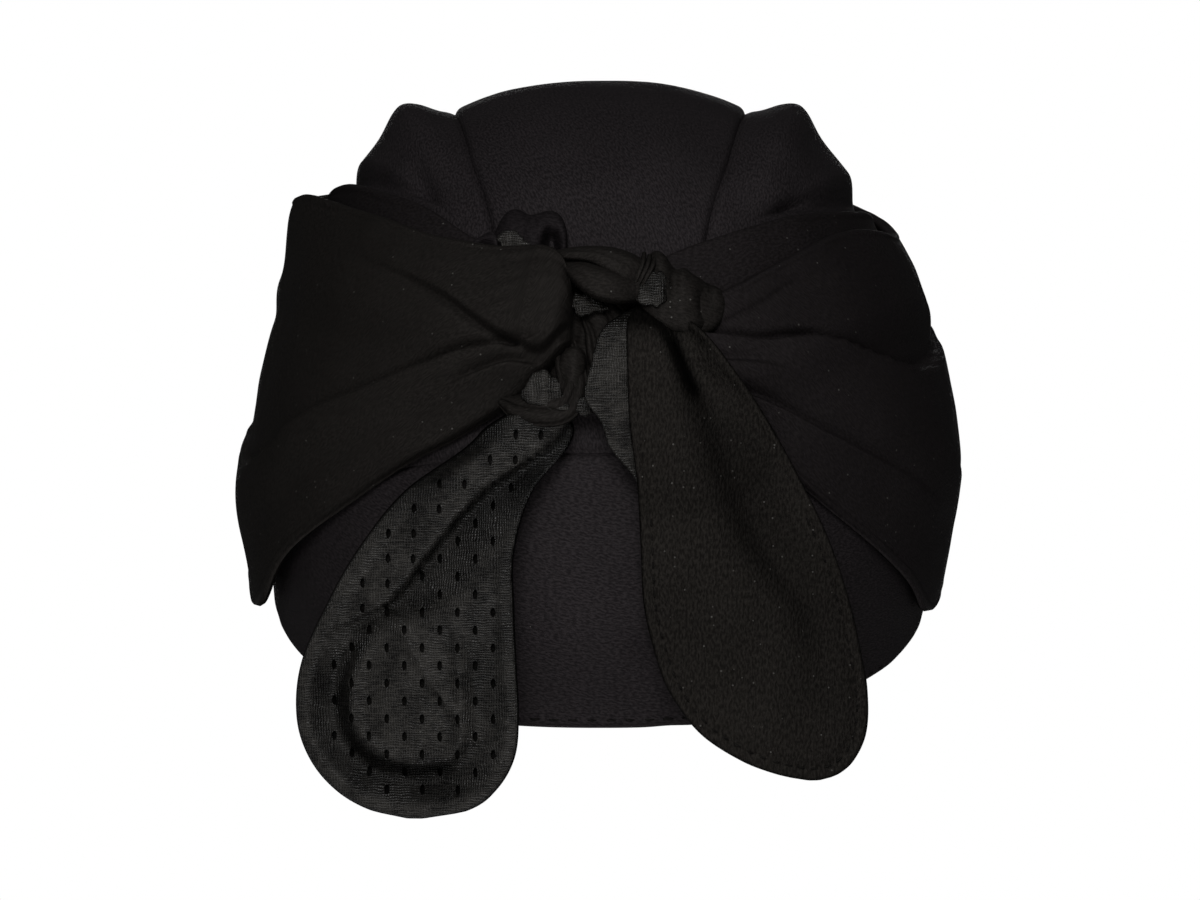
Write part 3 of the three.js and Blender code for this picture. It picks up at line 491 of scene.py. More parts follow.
@dataclass
class CapPanels:
    """The four sewn panels of the cap."""

    wall: float = 0.0018
    seam_gap: float = -0.0008
    seam_roll: float = 0.0014
    seam_sink: float = 0.0011
    hem_roll: float = 0.001
    puff: float = 0.0043
    ridge: float = 0.0036
    nape_turn: float = 31.8
    nape_end: float = 85.0
    edge_margin: float = 1.1
    uneven: float = 0.0003
    hem_inset: float = 0.0019

    def seam_turn(self, aside: np.ndarray) -> np.ndarray:
        """Half of the seam's gap as a turn over the crown."""
        reach = FORM.half_length * np.maximum(np.cos(np.radians(aside)), 0.03)
        return np.degrees(self.seam_gap / 2 / reach)

    def cover_rise(self, side: Side, turn: np.ndarray) -> np.ndarray:
        """Rise of the upper edge of whatever covers the side panel at a turn about the rim."""
        band = (LEFT_BAND if side is Side.LEFT else RIGHT_BAND).read("high", turn)
        fold = LEFT_FOLD if side is Side.LEFT else RIGHT_FOLD
        inside = (turn > fold.places[0]) & (turn < fold.places[-1])
        return np.where(inside, np.maximum(band, fold.read("high", turn)), band)

    def cloth(
        self,
        name: str,
        direction: np.ndarray,
        lift: np.ndarray,
        rolls: Sequence[float],
        seams: Sequence[bool],
    ) -> Fabric:
        """A panel with its edges rolled in, and drawn in where they are seams.

        Args:
            name: the node's name.
            direction: directions of its grid of points.
            lift: height of its inner face.
            rolls: roll radius of its first and last column, then first and last row.
            seams: whether each of the same four edges is a seam.

        Returns:
            The closed panel.
        """
        middle = FORM.surface(direction, lift + self.wall / 2)
        along, across = arc_lengths(middle, 0), arc_lengths(middle, 1)
        reaches = (along, along[-1:] - along, across, across[:, -1:] - across)
        thick, drawn = 1.0, 0.0
        for reach, radius, seam in zip(reaches, rolls, seams):
            thick = thick * rolled(reach, radius)
            drawn = drawn + (self.seam_sink * bump(reach, 0, 0.0014) if seam else 0)
        uneven = self.uneven * wander(middle, (0.016,) * 3, 3)
        uneven += 0.35 * self.uneven * wander(middle, (0.006,) * 3, 4)
        half = self.wall / 2 * thick
        centre = lift + self.wall / 2 - drawn
        outer = FORM.surface(direction, centre + half + uneven * thick)
        inner = FORM.surface(direction, centre - half)
        return grid_cloth(name, name, Slot.CAP, outer, inner)

    def centre(self) -> Fabric:
        """The middle panel from the nape seam over the top to the brow."""
        along = np.linspace(0, 1, 230)[:, None]
        share = np.sin(np.linspace(-1, 1, 74) * math.pi / 2)[None, :]
        share = mix(np.linspace(-1, 1, 74)[None, :], share, 0.6)
        turn = mix(self.nape_turn + float(self.seam_turn(np.array(0.0))), 180, along) + 0 * share
        gap = np.degrees(self.seam_gap / 2 / FORM.half_width)
        aside = (SEAM.read("aside", turn) - gap) * share
        rolls = (self.seam_roll, self.hem_roll, self.seam_roll, self.seam_roll)
        seams = (True, False, True, True)
        return self.cloth("crown_centre_panel", over_crown(aside, turn), 0 * turn, rolls, seams)

    def shown_share(self, side: Side, level: np.ndarray) -> np.ndarray:
        """Share of a side panel's width that shows at a turn over the crown."""
        seam = SEAM.read("aside", level)
        shown, covered = np.zeros(level.shape), np.ones(level.shape)
        for _ in range(14):
            middle = (shown + covered) / 2
            way = over_crown(mix(seam, 90, middle), level)
            turn = np.degrees(np.arctan2(way[..., 0], -way[..., 1]))
            rise = np.degrees(np.arcsin(way[..., 2]))
            clear = rise > self.cover_rise(side, turn) + self.edge_margin
            shown, covered = np.where(clear, middle, shown), np.where(clear, covered, middle)
        return np.maximum(shown, 0.1)

    def dimples(self, side: Side, points: np.ndarray) -> np.ndarray:
        """Dents pressed into the side panels where the cloth is drawn under the bands."""
        x, z = points[..., 0], points[..., 2]
        if side is Side.LEFT:
            line = mix(-0.0445, -0.0415, ease(z, 0.104, 0.089))
            return -0.0022 * bump(x, line, 0.0034) * bump(z, 0.093, 0.0085)
        across = (x - 0.0445) * 0.6 + (z - 0.0895) * -0.8
        along = (x - 0.0445) * 0.8 + (z - 0.0895) * 0.6
        return -0.0024 * bump(across, 0, 0.0026) * bump(along, 0, 0.0052)

    def side(self, side: Side) -> Fabric:
        """A puffed side panel."""
        level = np.linspace(self.nape_turn, 180, 210)[:, None]
        shown = self.shown_share(side, level)
        row = np.concatenate([np.linspace(0, 1, 92) ** 1.25, np.linspace(1.04, 2, 16)])[None, :]
        share = np.where(row < 1, row * shown, mix(shown, 1, row - 1))
        gap = np.degrees(self.seam_gap / 2 / FORM.half_width)
        aside = mix(SEAM.read("aside", level) + gap, 90, share)
        start = self.nape_turn + self.seam_turn(aside)
        turn = mix(start, 180, (level - self.nape_turn) / (180 - self.nape_turn))
        ridge = bump(share, 0.095, 0.055) * bump(turn, 108, 34)
        full = self.puff * ease(share, 0, 0.1) + self.ridge * ridge * ease(share, 0, 0.06)
        full = full * ease(turn, self.nape_turn + 1, self.nape_turn + 9)
        full = full * ease(shown, 0.1, 0.3) * (1 - ease(row, 0.78, 1))
        direction = over_crown(aside, turn) * np.array([side.value, 1, 1])
        points = FORM.surface(direction, full)
        full = full + self.dimples(side, points) * (1 - ease(row, 0.9, 1))
        rolls = (self.seam_roll, self.hem_roll, self.seam_roll, self.hem_roll)
        seams = (True, False, True, False)
        return self.cloth(f"crown_side_panel_{side.word}", direction, full, rolls, seams)

    def nape(self) -> Fabric:
        """The hemmed panel below the horizontal seam at the back."""
        aside = np.linspace(-self.nape_end, self.nape_end, 250)[:, None]
        up = np.linspace(0, 1, 66)[None, :] + 0 * aside
        turn = up * (self.nape_turn - self.seam_turn(aside))
        direction = over_crown(aside + 0 * up, turn)
        points = FORM.surface(direction, 0 * turn)
        fold = points[..., 0] - mix(0.0095, 0.0165, ease(points[..., 2], -0.015, -0.03))
        lift = -0.0006 * bump(fold, 0, 0.004) * ease(points[..., 2], -0.008, -0.02)
        rolls = (self.hem_roll, self.hem_roll, self.hem_roll, self.seam_roll)
        return self.cloth("nape_panel", direction, lift, rolls, (False, False, False, True))

    def hem_stitches(self) -> Fabric:
        """The stitches along the hem of the nape panel."""
        aside = np.linspace(-54, 54, 400)
        turn = 0 * aside + math.degrees(self.hem_inset / FORM.half_length)
        direction = over_crown(aside, turn)
        centres = FORM.surface(direction, 0 * aside + self.wall - 0.00005)
        further = FORM.surface(direction, 0 * aside + 2 * self.wall)
        outward = further - centres
        outward /= np.linalg.norm(outward, axis=1)[:, None]
        return stitches("nape_hem_stitches", Slot.CAP, centres, outward, 0.0026, 0.0046)

    def build(
        self, material: bpy.types.Material, thread: bpy.types.Material
    ) -> list[bpy.types.Object]:
        """Make the four panels and the hem's stitches.

        Args:
            material: the cap's finish.
            thread: the finish of the stitches.

        Returns:
            The panels' objects.
        """
        fabrics = [self.centre(), self.side(Side.LEFT), self.side(Side.RIGHT), self.nape()]
        pieces = []
        for fabric in fabrics:
            piece = fabric.make(material)
            pieces.append(piece)
        pieces.append(self.hem_stitches().make(thread))
        return pieces


@dataclass
class Bands:
    """The two wide tie bands and their inner folds."""

    wall: float = 0.0024
    low: float = 0.0023
    fold_high: float = 0.0043
    over_fold: float = 0.0048
    fold_dip: float = 9.0
    rim_stand: float = 0.00055
    edge_roll: float = 0.0013
    end_roll: float = 0.0042
    hem: float = 0.00035
    hem_depth: float = 0.0024
    uneven: float = 0.00045
    wrinkle: float = 0.0006
    creases_left: tuple[Crease, ...] = (
        Crease(
            Course(
                "share rise dent",
                [
                    (6, 0.34, 1.2, 0.4),
                    (7.3, 0.22, 2.2, 0.6),
                    (10.3, 0.15, 2.8, 1.1),
                    (13, 0.2, 2.9, 1.3),
                    (15.7, 0.3, 2.8, 1.4),
                    (20, 0.42, 2.5, 1.4),
                    (26.6, 0.586, 2, 1.4),
                    (33.6, 0.705, 1.7, 1.3),
                    (43.5, 0.8, 1.1, 0.7),
                    (55, 0.85, 0.5, 0.2),
                    (66, 0.9, 0, 0),
                ],
            ),
            raised_above=True,
            sharp=0.0014,
            hold=2,
            gone=3,
        ),
        Crease(
            Course(
                "share rise dent",
                [
                    (12, 0.28, 0, 0.3),
                    (15, 0.31, 0.8, 1.2),
                    (17, 0.335, 1.8, 2),
                    (20, 0.385, 2.6, 2.2),
                    (27, 0.43, 3, 2.2),
                    (33, 0.42, 3, 1.7),
                    (41, 0.41, 3, 1.2),
                    (52, 0.4, 3, 0.8),
                    (70, 0.36, 3, 0.4),
                    (78, 0.34, 2.6, 0.2),
                    (92, 0.33, 1.9, 0),
                    (106, 0.33, 1.4, 0),
                    (179.8, 0.33, 1.2, 0),
                ],
            ),
            raised_above=False,
            sharp=0.0013,
            hold=0.05,
            gone=0.25,
        ),
        Crease(
            Course(
                "share rise dent",
                [
                    (12, 0.1, 0, 0.8),
                    (14.5, 0.18, 0.8, 1.4),
                    (16.9, 0.235, 1.3, 1.8),
                    (19.7, 0.265, 1.5, 1.8),
                    (24.7, 0.28, 1.4, 1.3),
                    (28.5, 0.275, 0.7, 0.6),
                    (34, 0.27, 0, 0),
                ],
            ),
            raised_above=False,
            sharp=0.001,
            hold=0.03,
            gone=0.2,
        ),
    )
    creases_right: tuple[Crease, ...] = (
        Crease(
            Course(
                "share rise dent",
                [
                    (10, 0.74, 0.3, 1.6),
                    (15, 0.735, 1.2, 2),
                    (23, 0.72, 2.4, 2.2),
                    (32, 0.67, 2.9, 2),
                    (38, 0.683, 3.3, 2.6),
                    (43, 0.687, 3.6, 2.8),
                    (48, 0.672, 3.9, 1.3),
                    (53, 0.65, 4.2, 0.9),
                    (61.5, 0.625, 4.4, 0.7),
                    (70, 0.61, 4.4, 0.3),
                    (82, 0.62, 3.6, 0),
                    (99, 0.64, 3, 0),
                    (179.8, 0.64, 2.4, 0),
                ],
            ),
            raised_above=False,
            sharp=0.0012,
            hold=0.22,
            gone=0.5,
        ),
        Crease(
            Course(
                "share rise dent",
                [
                    (19, 0.74, 0, 0),
                    (24, 0.77, 0.6, 0.3),
                    (33, 0.84, 0.8, 0.4),
                    (45, 0.9, 0.7, 0.2),
                    (62, 0.91, 0, 0),
                ],
            ),
            raised_above=True,
            sharp=0.004,
            hold=0.1,
            gone=0.3,
        ),
        Crease(
            Course(
                "share rise dent",
                [
                    (25, 0.35, 0, 1),
                    (28, 0.34, 0.7, 2.2),
                    (32, 0.33, 1.3, 1.5),
                    (43, 0.31, 1.6, 0.9),
                    (57, 0.29, 1, 0.3),
                    (66, 0.28, 0, 0),
                ],
            ),
            raised_above=False,
            sharp=0.0012,
            hold=0.04,
            gone=0.28,
        ),
        Crease(
            Course(
                "share rise dent",
                [
                    (12, 0.5, 0, 0.8),
                    (20, 0.52, 0.8, 1.2),
                    (29, 0.53, 0.8, 0.7),
                    (40, 0.52, 0, 0),
                ],
            ),
            raised_above=False,
            sharp=0.0014,
            hold=0.06,
            gone=0.25,
        ),
        Crease(
            Course(
                "share rise dent",
                [(62, 0.47, 0, 0), (71, 0.42, 0.9, 0.2), (78, 0.35, 0.8, 0.2), (86, 0.3, 0, 0)],
            ),
            raised_above=False,
            sharp=0.003,
            hold=0.04,
            gone=0.3,
        ),
    )

    def flare(self, turn: np.ndarray) -> np.ndarray:
        """Share of the flare of a top edge, widest a little in front of the wearer's ear."""
        return bump(turn, 98, 24)

    def edge_hem(self, distance: np.ndarray) -> np.ndarray:
        """Height of the rolled hem along a free edge."""
        return self.hem * (1 - ease(distance, 0.75 * self.hem_depth, self.hem_depth))

    def wrinkles(self, points: np.ndarray, turn: np.ndarray, share: np.ndarray) -> np.ndarray:
        """Unevenness of the cloth, drawn along the band near the knot."""
        near = bump(turn, 4, 26)
        flow = np.stack([turn * DEGREE, share * 0.045, 0 * turn], axis=-1)
        drawn = wander(flow, (0.034, 0.0042, 1), 11) + 0.5 * wander(flow, (0.02, 0.0024, 1), 12)
        loose = wander(points, (0.019,) * 3, 13) + 0.4 * wander(points, (0.007,) * 3, 14)
        return self.wrinkle * near * drawn + self.uneven * loose

    def wrap(self, side: Side) -> Fabric:
        """One wide double band, gathered to the knot."""
        band = LEFT_BAND if side is Side.LEFT else RIGHT_BAND
        creases = self.creases_left if side is Side.LEFT else self.creases_right
        first, last = band.places[0], band.places[-1]
        along = np.linspace(0, 1, 260)[:, None]
        turn = mix(first, last, 0.42 * along + 0.58 * along**2)
        row = np.linspace(-1, 1, 108)[None, :]
        share = 0.5 + 0.5 * mix(row, np.sin(row * math.pi / 2), 0.5) + 0 * turn
        turn = turn + 0 * share
        low, high = band.read("low", turn), band.read("high", turn)
        rise = mix(low, high, share)
        over = ease((share - 1) * (high - low) + self.fold_dip, -6, -0.5)
        inner = mix(self.low, self.over_fold, over)
        arch = np.sqrt(np.maximum(0, 1 - (2 * share - 1) ** 4))
        gather = band.read("gather", turn)
        billow_turn = ease(turn, 40, 62) * (1 - ease(turn, 120, 165))
        if side is Side.LEFT:
            swell = 0.0075 * gather * arch
            stand = 0.0026 * billow_turn * (1 - 0.5 * share)
            stand = stand + 0.0055 * self.flare(turn) * ease(share, 0.76, 1)
        else:
            swell = 0.0018 * gather * arch
            stand = 0.0013 * billow_turn * arch
        stand = stand + self.rim_stand * (1 - ease(rise, 6, 24))
        folds = np.zeros(turn.shape)
        for crease in creases:
            folds += crease.height(turn, share, (high - low) * DEGREE)
        level = turn * side.value
        direction = around_rim(level, rise)
        middle = FORM.surface(direction, inner + stand)
        across = arc_lengths(middle, 1)
        run = arc_lengths(middle, 0)
        low_edge, high_edge = across, across[:, -1:] - across
        thick = rolled(low_edge, self.edge_roll) * rolled(high_edge, self.edge_roll)
        thick = thick * rolled(run, self.end_roll) * rolled(run[-1:] - run, self.edge_roll)
        rough = self.wrinkles(middle, turn, share) + self.edge_hem(high_edge)
        rough = rough + self.edge_hem(low_edge) * ease(turn, 24, 34)
        outer = inner + self.wall + swell + stand + (folds + rough) * ease(thick, 0, 1)
        inner = inner + stand
        centre = mix(inner, outer, 0.5)
        half = (outer - inner) / 2 * thick
        return grid_cloth(
            f"wrap_{side.word}",
            f"wrap_{side.word}",
            Slot.BAND,
            FORM.surface(direction, centre + half),
            FORM.surface(direction, centre - half),
        )

    def under_fold(self, side: Side) -> Fabric:
        """The inner fold that shows as a strip above a band."""
        fold = LEFT_FOLD if side is Side.LEFT else RIGHT_FOLD
        band = LEFT_BAND if side is Side.LEFT else RIGHT_BAND
        turn = np.linspace(fold.places[0], fold.places[-1], 190)[:, None]
        share = np.linspace(0, 1, 26)[None, :] + 0 * turn
        share = np.sin(share * math.pi / 2)
        turn = turn + 0 * share
        high = fold.read("high", turn)
        edge = np.minimum(high, band.read("high", turn))
        rise = mix(edge - self.fold_dip, high, share)
        flare = 0.003 * self.flare(turn) * ease(share, 0.6, 1) if side is Side.LEFT else 0 * turn
        direction = around_rim(turn * side.value, rise)
        middle = FORM.surface(direction, flare + self.low)
        across, run = arc_lengths(middle, 1), arc_lengths(middle, 0)
        high_edge = across[:, -1:] - across
        thick = rolled(high_edge, self.edge_roll) * rolled(across, self.edge_roll)
        thick = thick * rolled(run, 0.002) * rolled(run[-1:] - run, 0.002)
        rough = 0.0003 * wander(middle, (0.012,) * 3, 21) + self.edge_hem(high_edge)
        centre = flare + (self.low + self.fold_high) / 2
        half = (self.fold_high - self.low) / 2 * thick
        return grid_cloth(
            f"under_fold_{side.word}",
            f"under_fold_{side.word}",
            Slot.BAND,
            FORM.surface(direction, centre + half + rough * thick),
            FORM.surface(direction, centre - half),
        )

    def build(
        self, left: bpy.types.Material, right: bpy.types.Material
    ) -> list[bpy.types.Object]:
        """Make the bands and what belongs to them.

        Args:
            left: the finish of the left band.
            right: the finish of the right band and of both folds.

        Returns:
            The objects.
        """
        pieces = []
        for side, material in ((Side.LEFT, left), (Side.RIGHT, right)):
            wrap = self.wrap(side).make(material)
            fold = self.under_fold(side).make(right)
            pieces += [wrap, fold]
        return pieces


KNOT = FORM.surface(around_rim(np.array([0.0]), np.array([47.0])), np.array([0.0]))[0]


def resample(line: np.ndarray, step: float) -> np.ndarray:
    """Points at even steps round a closed line.

    Args:
        line: its corners.
        step: the longest step between two points.

    Returns:
        The points, without the first one repeated at the end.
    """
    closed = np.concatenate([line, line[:1]])
    run = np.concatenate([[0], np.cumsum(np.linalg.norm(np.diff(closed, axis=0), axis=1))])
    places = np.linspace(0, run[-1], int(run[-1] / step) + 1)[:-1]
    return np.stack([np.interp(places, run, closed[:, i]) for i in range(2)], axis=-1)


def edge_distance(points: np.ndarray, line: np.ndarray) -> np.ndarray:
    """Distance of flat points to a closed line."""
    start, end = line, np.roll(line, -1, axis=0)
    way = end - start
    reach = np.maximum((way**2).sum(axis=1), 1e-12)
    best = np.full(len(points), 1e9)
    for i in range(len(line)):
        offset = points - start[i]
        share = np.clip(offset @ way[i] / reach[i], 0, 1)
        best = np.minimum(best, np.linalg.norm(offset - share[:, None] * way[i], axis=1))
    return best


def line_distance(points: np.ndarray, line: np.ndarray) -> np.ndarray:
    """Distance of flat points to an open line."""
    best = np.full(len(points), 1e9)
    for start, end in zip(line[:-1], line[1:]):
        way = end - start
        offset = points - start
        share = np.clip(offset @ way / (way @ way), 0, 1)
        best = np.minimum(best, np.linalg.norm(offset - share[:, None] * way, axis=1))
    return best


def inside_line(points: np.ndarray, line: np.ndarray) -> np.ndarray:
    """Whether flat points are inside a closed line."""
    inside = np.zeros(len(points), dtype=bool)
    for start, end in zip(line, np.roll(line, -1, axis=0)):
        crosses = (start[1] > points[:, 1]) != (end[1] > points[:, 1])
        if crosses.any():
            share = (points[:, 1] - start[1]) / (end[1] - start[1] if end[1] != start[1] else 1)
            inside ^= crosses & (points[:, 0] < start[0] + share * (end[0] - start[0]))
    return inside


@dataclass
class Pattern:
    """A cut piece of cloth laid flat: its outline, its eyelets and how finely it is divided."""

    outline: np.ndarray
    eyelets: np.ndarray
    eyelet_half: tuple[float, float] = (0.00055, 0.00115)
    edge_step: float = 0.0009
    step: float = 0.0013

    def eyelet_size(self, points: np.ndarray) -> np.ndarray:
        """How far points are from the nearest eyelet's centre, 1 at its rim."""
        best = np.full(len(points), 9.0)
        for centre in self.eyelets:
            best = np.minimum(best, np.linalg.norm((points - centre) / self.eyelet_half, axis=1))
        return best

    def divided(self) -> tuple[np.ndarray, np.ndarray, np.ndarray]:
        """Divide the pattern into triangles.

        Returns:
            The points, the triangles and each point's distance from the outline.
        """
        edge = resample(self.outline, self.edge_step)
        way = np.roll(edge, -1, axis=0) - np.roll(edge, 1, axis=0)
        square = np.stack([-way[:, 1], way[:, 0]], axis=-1)
        square /= np.linalg.norm(square, axis=1)[:, None]
        if not inside_line(edge[:1] + square[:1] * 1e-4, edge)[0]:
            square = -square
        loose = []
        for inset in (0.0003, 0.0007, 0.0013, 0.002):
            ring = edge + square * inset
            loose.append(ring[edge_distance(ring, edge) > 0.93 * inset])
        low, high = edge.min(axis=0), edge.max(axis=0)
        columns = np.arange(low[0], high[0], self.step)
        rows = np.arange(low[1], high[1], self.step * 0.866)
        grid = np.stack(np.meshgrid(columns, rows), axis=-1)
        grid[1::2, :, 0] += self.step / 2
        grid = grid.reshape(-1, 2)
        grid = grid[edge_distance(grid, edge) > 0.0026]
        loose.append(grid)
        loose = np.concatenate(loose)
        loose = loose[inside_line(loose, edge)]
        rims = []
        if len(self.eyelets):
            loose = loose[self.eyelet_size(loose) > 1.7]
            angle = np.arange(14) / 14 * 2 * math.pi
            rim = np.stack([np.cos(angle), np.sin(angle)], axis=-1)
            for grown in (1, 1.45):
                rims.append(
                    (self.eyelets[:, None] + rim * np.array(self.eyelet_half) * grown).reshape(-1, 2)
                )
        points = np.concatenate([edge, *rims, loose])
        border = [(i, (i + 1) % len(edge)) for i in range(len(edge))]
        result = delaunay_2d_cdt([Vector(p) for p in points.tolist()], border, [], 0, 1e-6)
        points = np.array([tuple(p) for p in result[0]])
        faces = np.array(result[2])
        middle = points[faces].mean(axis=1)
        kept = inside_line(middle, edge)
        if len(self.eyelets):
            kept &= self.eyelet_size(middle) > 0.99
        faces = faces[kept]
        used = np.unique(faces)
        order = np.full(len(points), -1)
        order[used] = np.arange(len(used))
        points, faces = points[used], order[faces]
        first = points[faces[:, 1]] - points[faces[:, 0]]
        second = points[faces[:, 2]] - points[faces[:, 0]]
        flipped = first[:, 0] * second[:, 1] - first[:, 1] * second[:, 0] < 0
        faces[flipped] = faces[flipped][:, ::-1]
        return points, faces, edge_distance(points, edge)


def layered(
    name: str,
    node: str,
    slot: Slot,
    flat: np.ndarray,
    triangles: np.ndarray,
    outer: np.ndarray,
    inner: np.ndarray,
    shade: np.ndarray | None = None,
) -> Fabric:
    """Join the two faces of a divided pattern into a closed cloth."""
    count = len(flat)
    ends = np.concatenate([triangles[:, [0, 1]], triangles[:, [1, 2]], triangles[:, [2, 0]]])
    pairs = {(int(a), int(b)) for a, b in ends}
    border = np.array([(a, b) for a, b in sorted(pairs) if (b, a) not in pairs])
    a, b = border[:, 0], border[:, 1]
    wall = np.concatenate(
        [np.stack([b, a, a + count], axis=-1), np.stack([b, a + count, b + count], axis=-1)]
    )
    faces = np.concatenate([triangles, triangles[:, ::-1] + count, wall])
    vertices = np.concatenate([outer, inner])
    # the painted shade, the same on both faces
    both = None if shade is None else np.concatenate([shade, shade])
    return Fabric(name, node, slot, vertices, faces, np.concatenate([flat, flat]), both)


@dataclass(frozen=True)
class Groove:
    """A crease that runs along a roll of the knot."""

    angle: float
    depth: float
    half: float
    twist: float = 0.0


@dataclass(frozen=True)
class Roll:
    """A roll of cloth: x, z and half width from the knot's centre, and heights over the cap, in mm."""

    name: str
    node: str
    rows: tuple[tuple[float, ...], ...]
    grooves: tuple[Groove, ...] = ()
    uneven: float = 0.0004


@dataclass(frozen=True)
class Mound:
    """A rounded swelling or dent of a patch, in mm from the knot's centre."""

    x: float
    z: float
    half_x: float
    half_z: float
    height: float


@dataclass(frozen=True)
class Patch:
    """A flat-cut scrap of cloth in the knot: corners from the knot's centre and heights, in mm."""

    name: str
    node: str
    slot: Slot
    corners: tuple[tuple[float, float], ...]
    lift: float
    mounds: tuple[Mound, ...] = ()
    slope_x: float = 0.0
    slope_z: float = 0.0
    wall: float = 1.4
    fray: float = 0.0
    wrinkle: float = 0.25
    cap_cloth: bool = False


def rounded(corners: Sequence[tuple[float, float]], rounds: int = 3) -> np.ndarray:
    """A closed line with its corners cut off again and again."""
    line = np.array(corners, dtype=float)
    for _ in range(rounds):
        after = np.roll(line, -1, axis=0)
        line = np.stack([mix(line, after, 0.25), mix(line, after, 0.75)], axis=1).reshape(-1, 2)
    return line


TOP_LOOP_UPPER = Roll(
    "knot_top_loop_upper",
    "knot_top_loop",
    (
        (-12.2, 17.0, 0.6, 6, 12),
        (-8.6, 17.2, 1.5, 6, 15.5),
        (-2.4, 17.1, 2.2, 6, 18),
        (2.6, 15.7, 3.3, 6, 19),
        (7, 13.7, 3.7, 6.5, 18),
        (10.4, 12, 3, 8, 15.4),
    ),
    (Groove(1.2, 0.35, 0.2, 0.4),),
)
TOP_LOOP_LOWER = Roll(
    "knot_top_loop_lower",
    "knot_top_loop",
    (
        (-9.4, 15.2, 0.8, 7, 12.5),
        (-7.4, 13.9, 1.9, 6, 16.5),
        (-4.2, 12.4, 3.3, 6, 19),
        (0, 10.4, 4.2, 6, 19.8),
        (4.4, 9.2, 4, 6.5, 18.6),
        (8.6, 9, 3.2, 8, 15.8),
    ),
    (Groove(1.8, 0.35, 0.2, 0.7),),
)
CORDS = tuple(
    Roll(
        f"knot_cord_{i}",
        "knot_top_loop",
        (
            (10.6 + 1.3 * i, 17.6 - 0.5 * i, 0.5, 10, 14.5),
            (10.2 + 1.2 * i, 15 - 0.3 * i, 0.75, 11, 16.6),
            (8.9 + 1.1 * i, 11.6, 0.75, 11, 16.4),
            (6.9 + 0.9 * i, 7.6, 0.5, 9, 14),
        ),
        uneven=0.0003,
    )
    for i in range(3)
)
LOWER_LOOP = Roll(
    "knot_lower_loop",
    "knot_lower_loop",
    (
        (-23.4, -17.8, 1.6, 5.2, 8.6),
        (-19.6, -19.4, 3.4, 5, 11.2),
        (-14.4, -20, 4.2, 5, 12.8),
        (-8.8, -19, 4.2, 5, 13),
        (-6.6, -14, 3.8, 5, 11),
        (-7.4, -9, 3.4, 4.6, 9),
        (-8.4, -4.4, 2.8, 4, 7.4),
    ),
    (Groove(0.9, 1.1, 0.16, 0.7), Groove(1.7, 0.8, 0.12, 0.5), Groove(2.4, 0.6, 0.14)),
)
CORE = Roll(
    "knot_core",
    "knot_core",
    (
        (-6.5, 7.6, 1.6, 2.6, 5),
        (-2, 5.6, 4.2, 2.4, 8),
        (1.8, 0, 5.8, 2.3, 9),
        (3, -6.4, 6.2, 2.3, 8.6),
        (3.6, -12, 4.8, 2.3, 8),
        (3.6, -15.2, 2.4, 2.6, 5),
    ),
    (Groove(1.4, 1.6, 0.14, 0.6), Groove(0.7, 1.2, 0.12), Groove(2.2, 1.4, 0.12, -0.4)),
    uneven=0.0009,
)
ROLLS = (TOP_LOOP_UPPER, TOP_LOOP_LOWER, *CORDS, LOWER_LOOP, CORE)

COLLAR = Patch(
    "knot_right_collar",
    "knot_right_collar",
    Slot.BAND,
    (
        (11.4, 16.4),
        (13, 18.4),
        (15.4, 17.6),
        (17.4, 14.2),
        (18.6, 13.4),
        (20.2, 14.4),
        (22, 12.6),
        (24.2, 11.4),
        (26.6, 9.6),
        (27.6, 5),
        (26.6, 1),
        (22, -2.6),
        (15, -1),
        (9.6, 3),
        (8.6, 9),
    ),
    lift=12.6,
    mounds=(
        Mound(14.6, 12, 2.6, 9, 2.2),
        Mound(20.6, 9, 3.4, 7, 1.4),
        Mound(17.7, 12, 1, 5, -1),
        Mound(24.6, 6, 1, 5, -1.6),
        Mound(28, 5, 4, 9, -3),
    ),
    wall=2.6,
)
COLLAR_BACK = Patch(
    "knot_right_collar_back",
    "knot_right_collar",
    Slot.BAND,
    ((9, 15), (16, 15), (24, 11), (30, 9), (31, 3), (26, -3), (16, -4), (8, 2)),
    lift=9.4,
    mounds=(Mound(17, 7, 6, 7, 2.4),),
    wall=3.4,
    wrinkle=0.5,
)
COLLAR_LINING = Patch(
    "knot_lining_right",
    "knot_core",
    Slot.LINING,
    (
        (8.8, 9.4),
        (10.6, 12.2),
        (13.4, 13.2),
        (16.6, 12),
        (17.4, 8.6),
        (16.4, 5.4),
        (12, 4.6),
        (8.6, 6),
    ),
    lift=15.2,
    mounds=(Mound(13.6, 10, 2, 6, 1.6), Mound(16.4, 8, 1, 5, -0.9)),
    wall=0.7,
    fray=0.5,
    wrinkle=0.5,
)
INNER_LINING = Patch(
    "knot_lining_inner",
    "knot_core",
    Slot.LINING,
    ((-6.6, 8.8), (-3.2, 7.4), (3.2, 4.4), (0, 3.2), (-5.4, 1.8), (-6.6, 4.6)),
    lift=10.5,
    mounds=(Mound(-3, 5, 3, 3, 1.2),),
    wall=0.7,
    fray=0.5,
    wrinkle=0.5,
)
DARK_CLOTH = Patch(
    "knot_core_backing",
    "knot_core",
    Slot.BAND,
    (
        (-9.6, 8.6),
        (0, 7.4),
        (9, 5),
        (12, -2),
        (9, -12),
        (2, -20),
        (-6, -20.6),
        (-12.6, -14),
        (-12, -4),
    ),
    lift=4.2,
    mounds=(Mound(-4, 2, 1.2, 9, -1.4), Mound(-8, -6, 1.4, 9, 1.2)),
    wall=2.2,
    wrinkle=0.9,
)
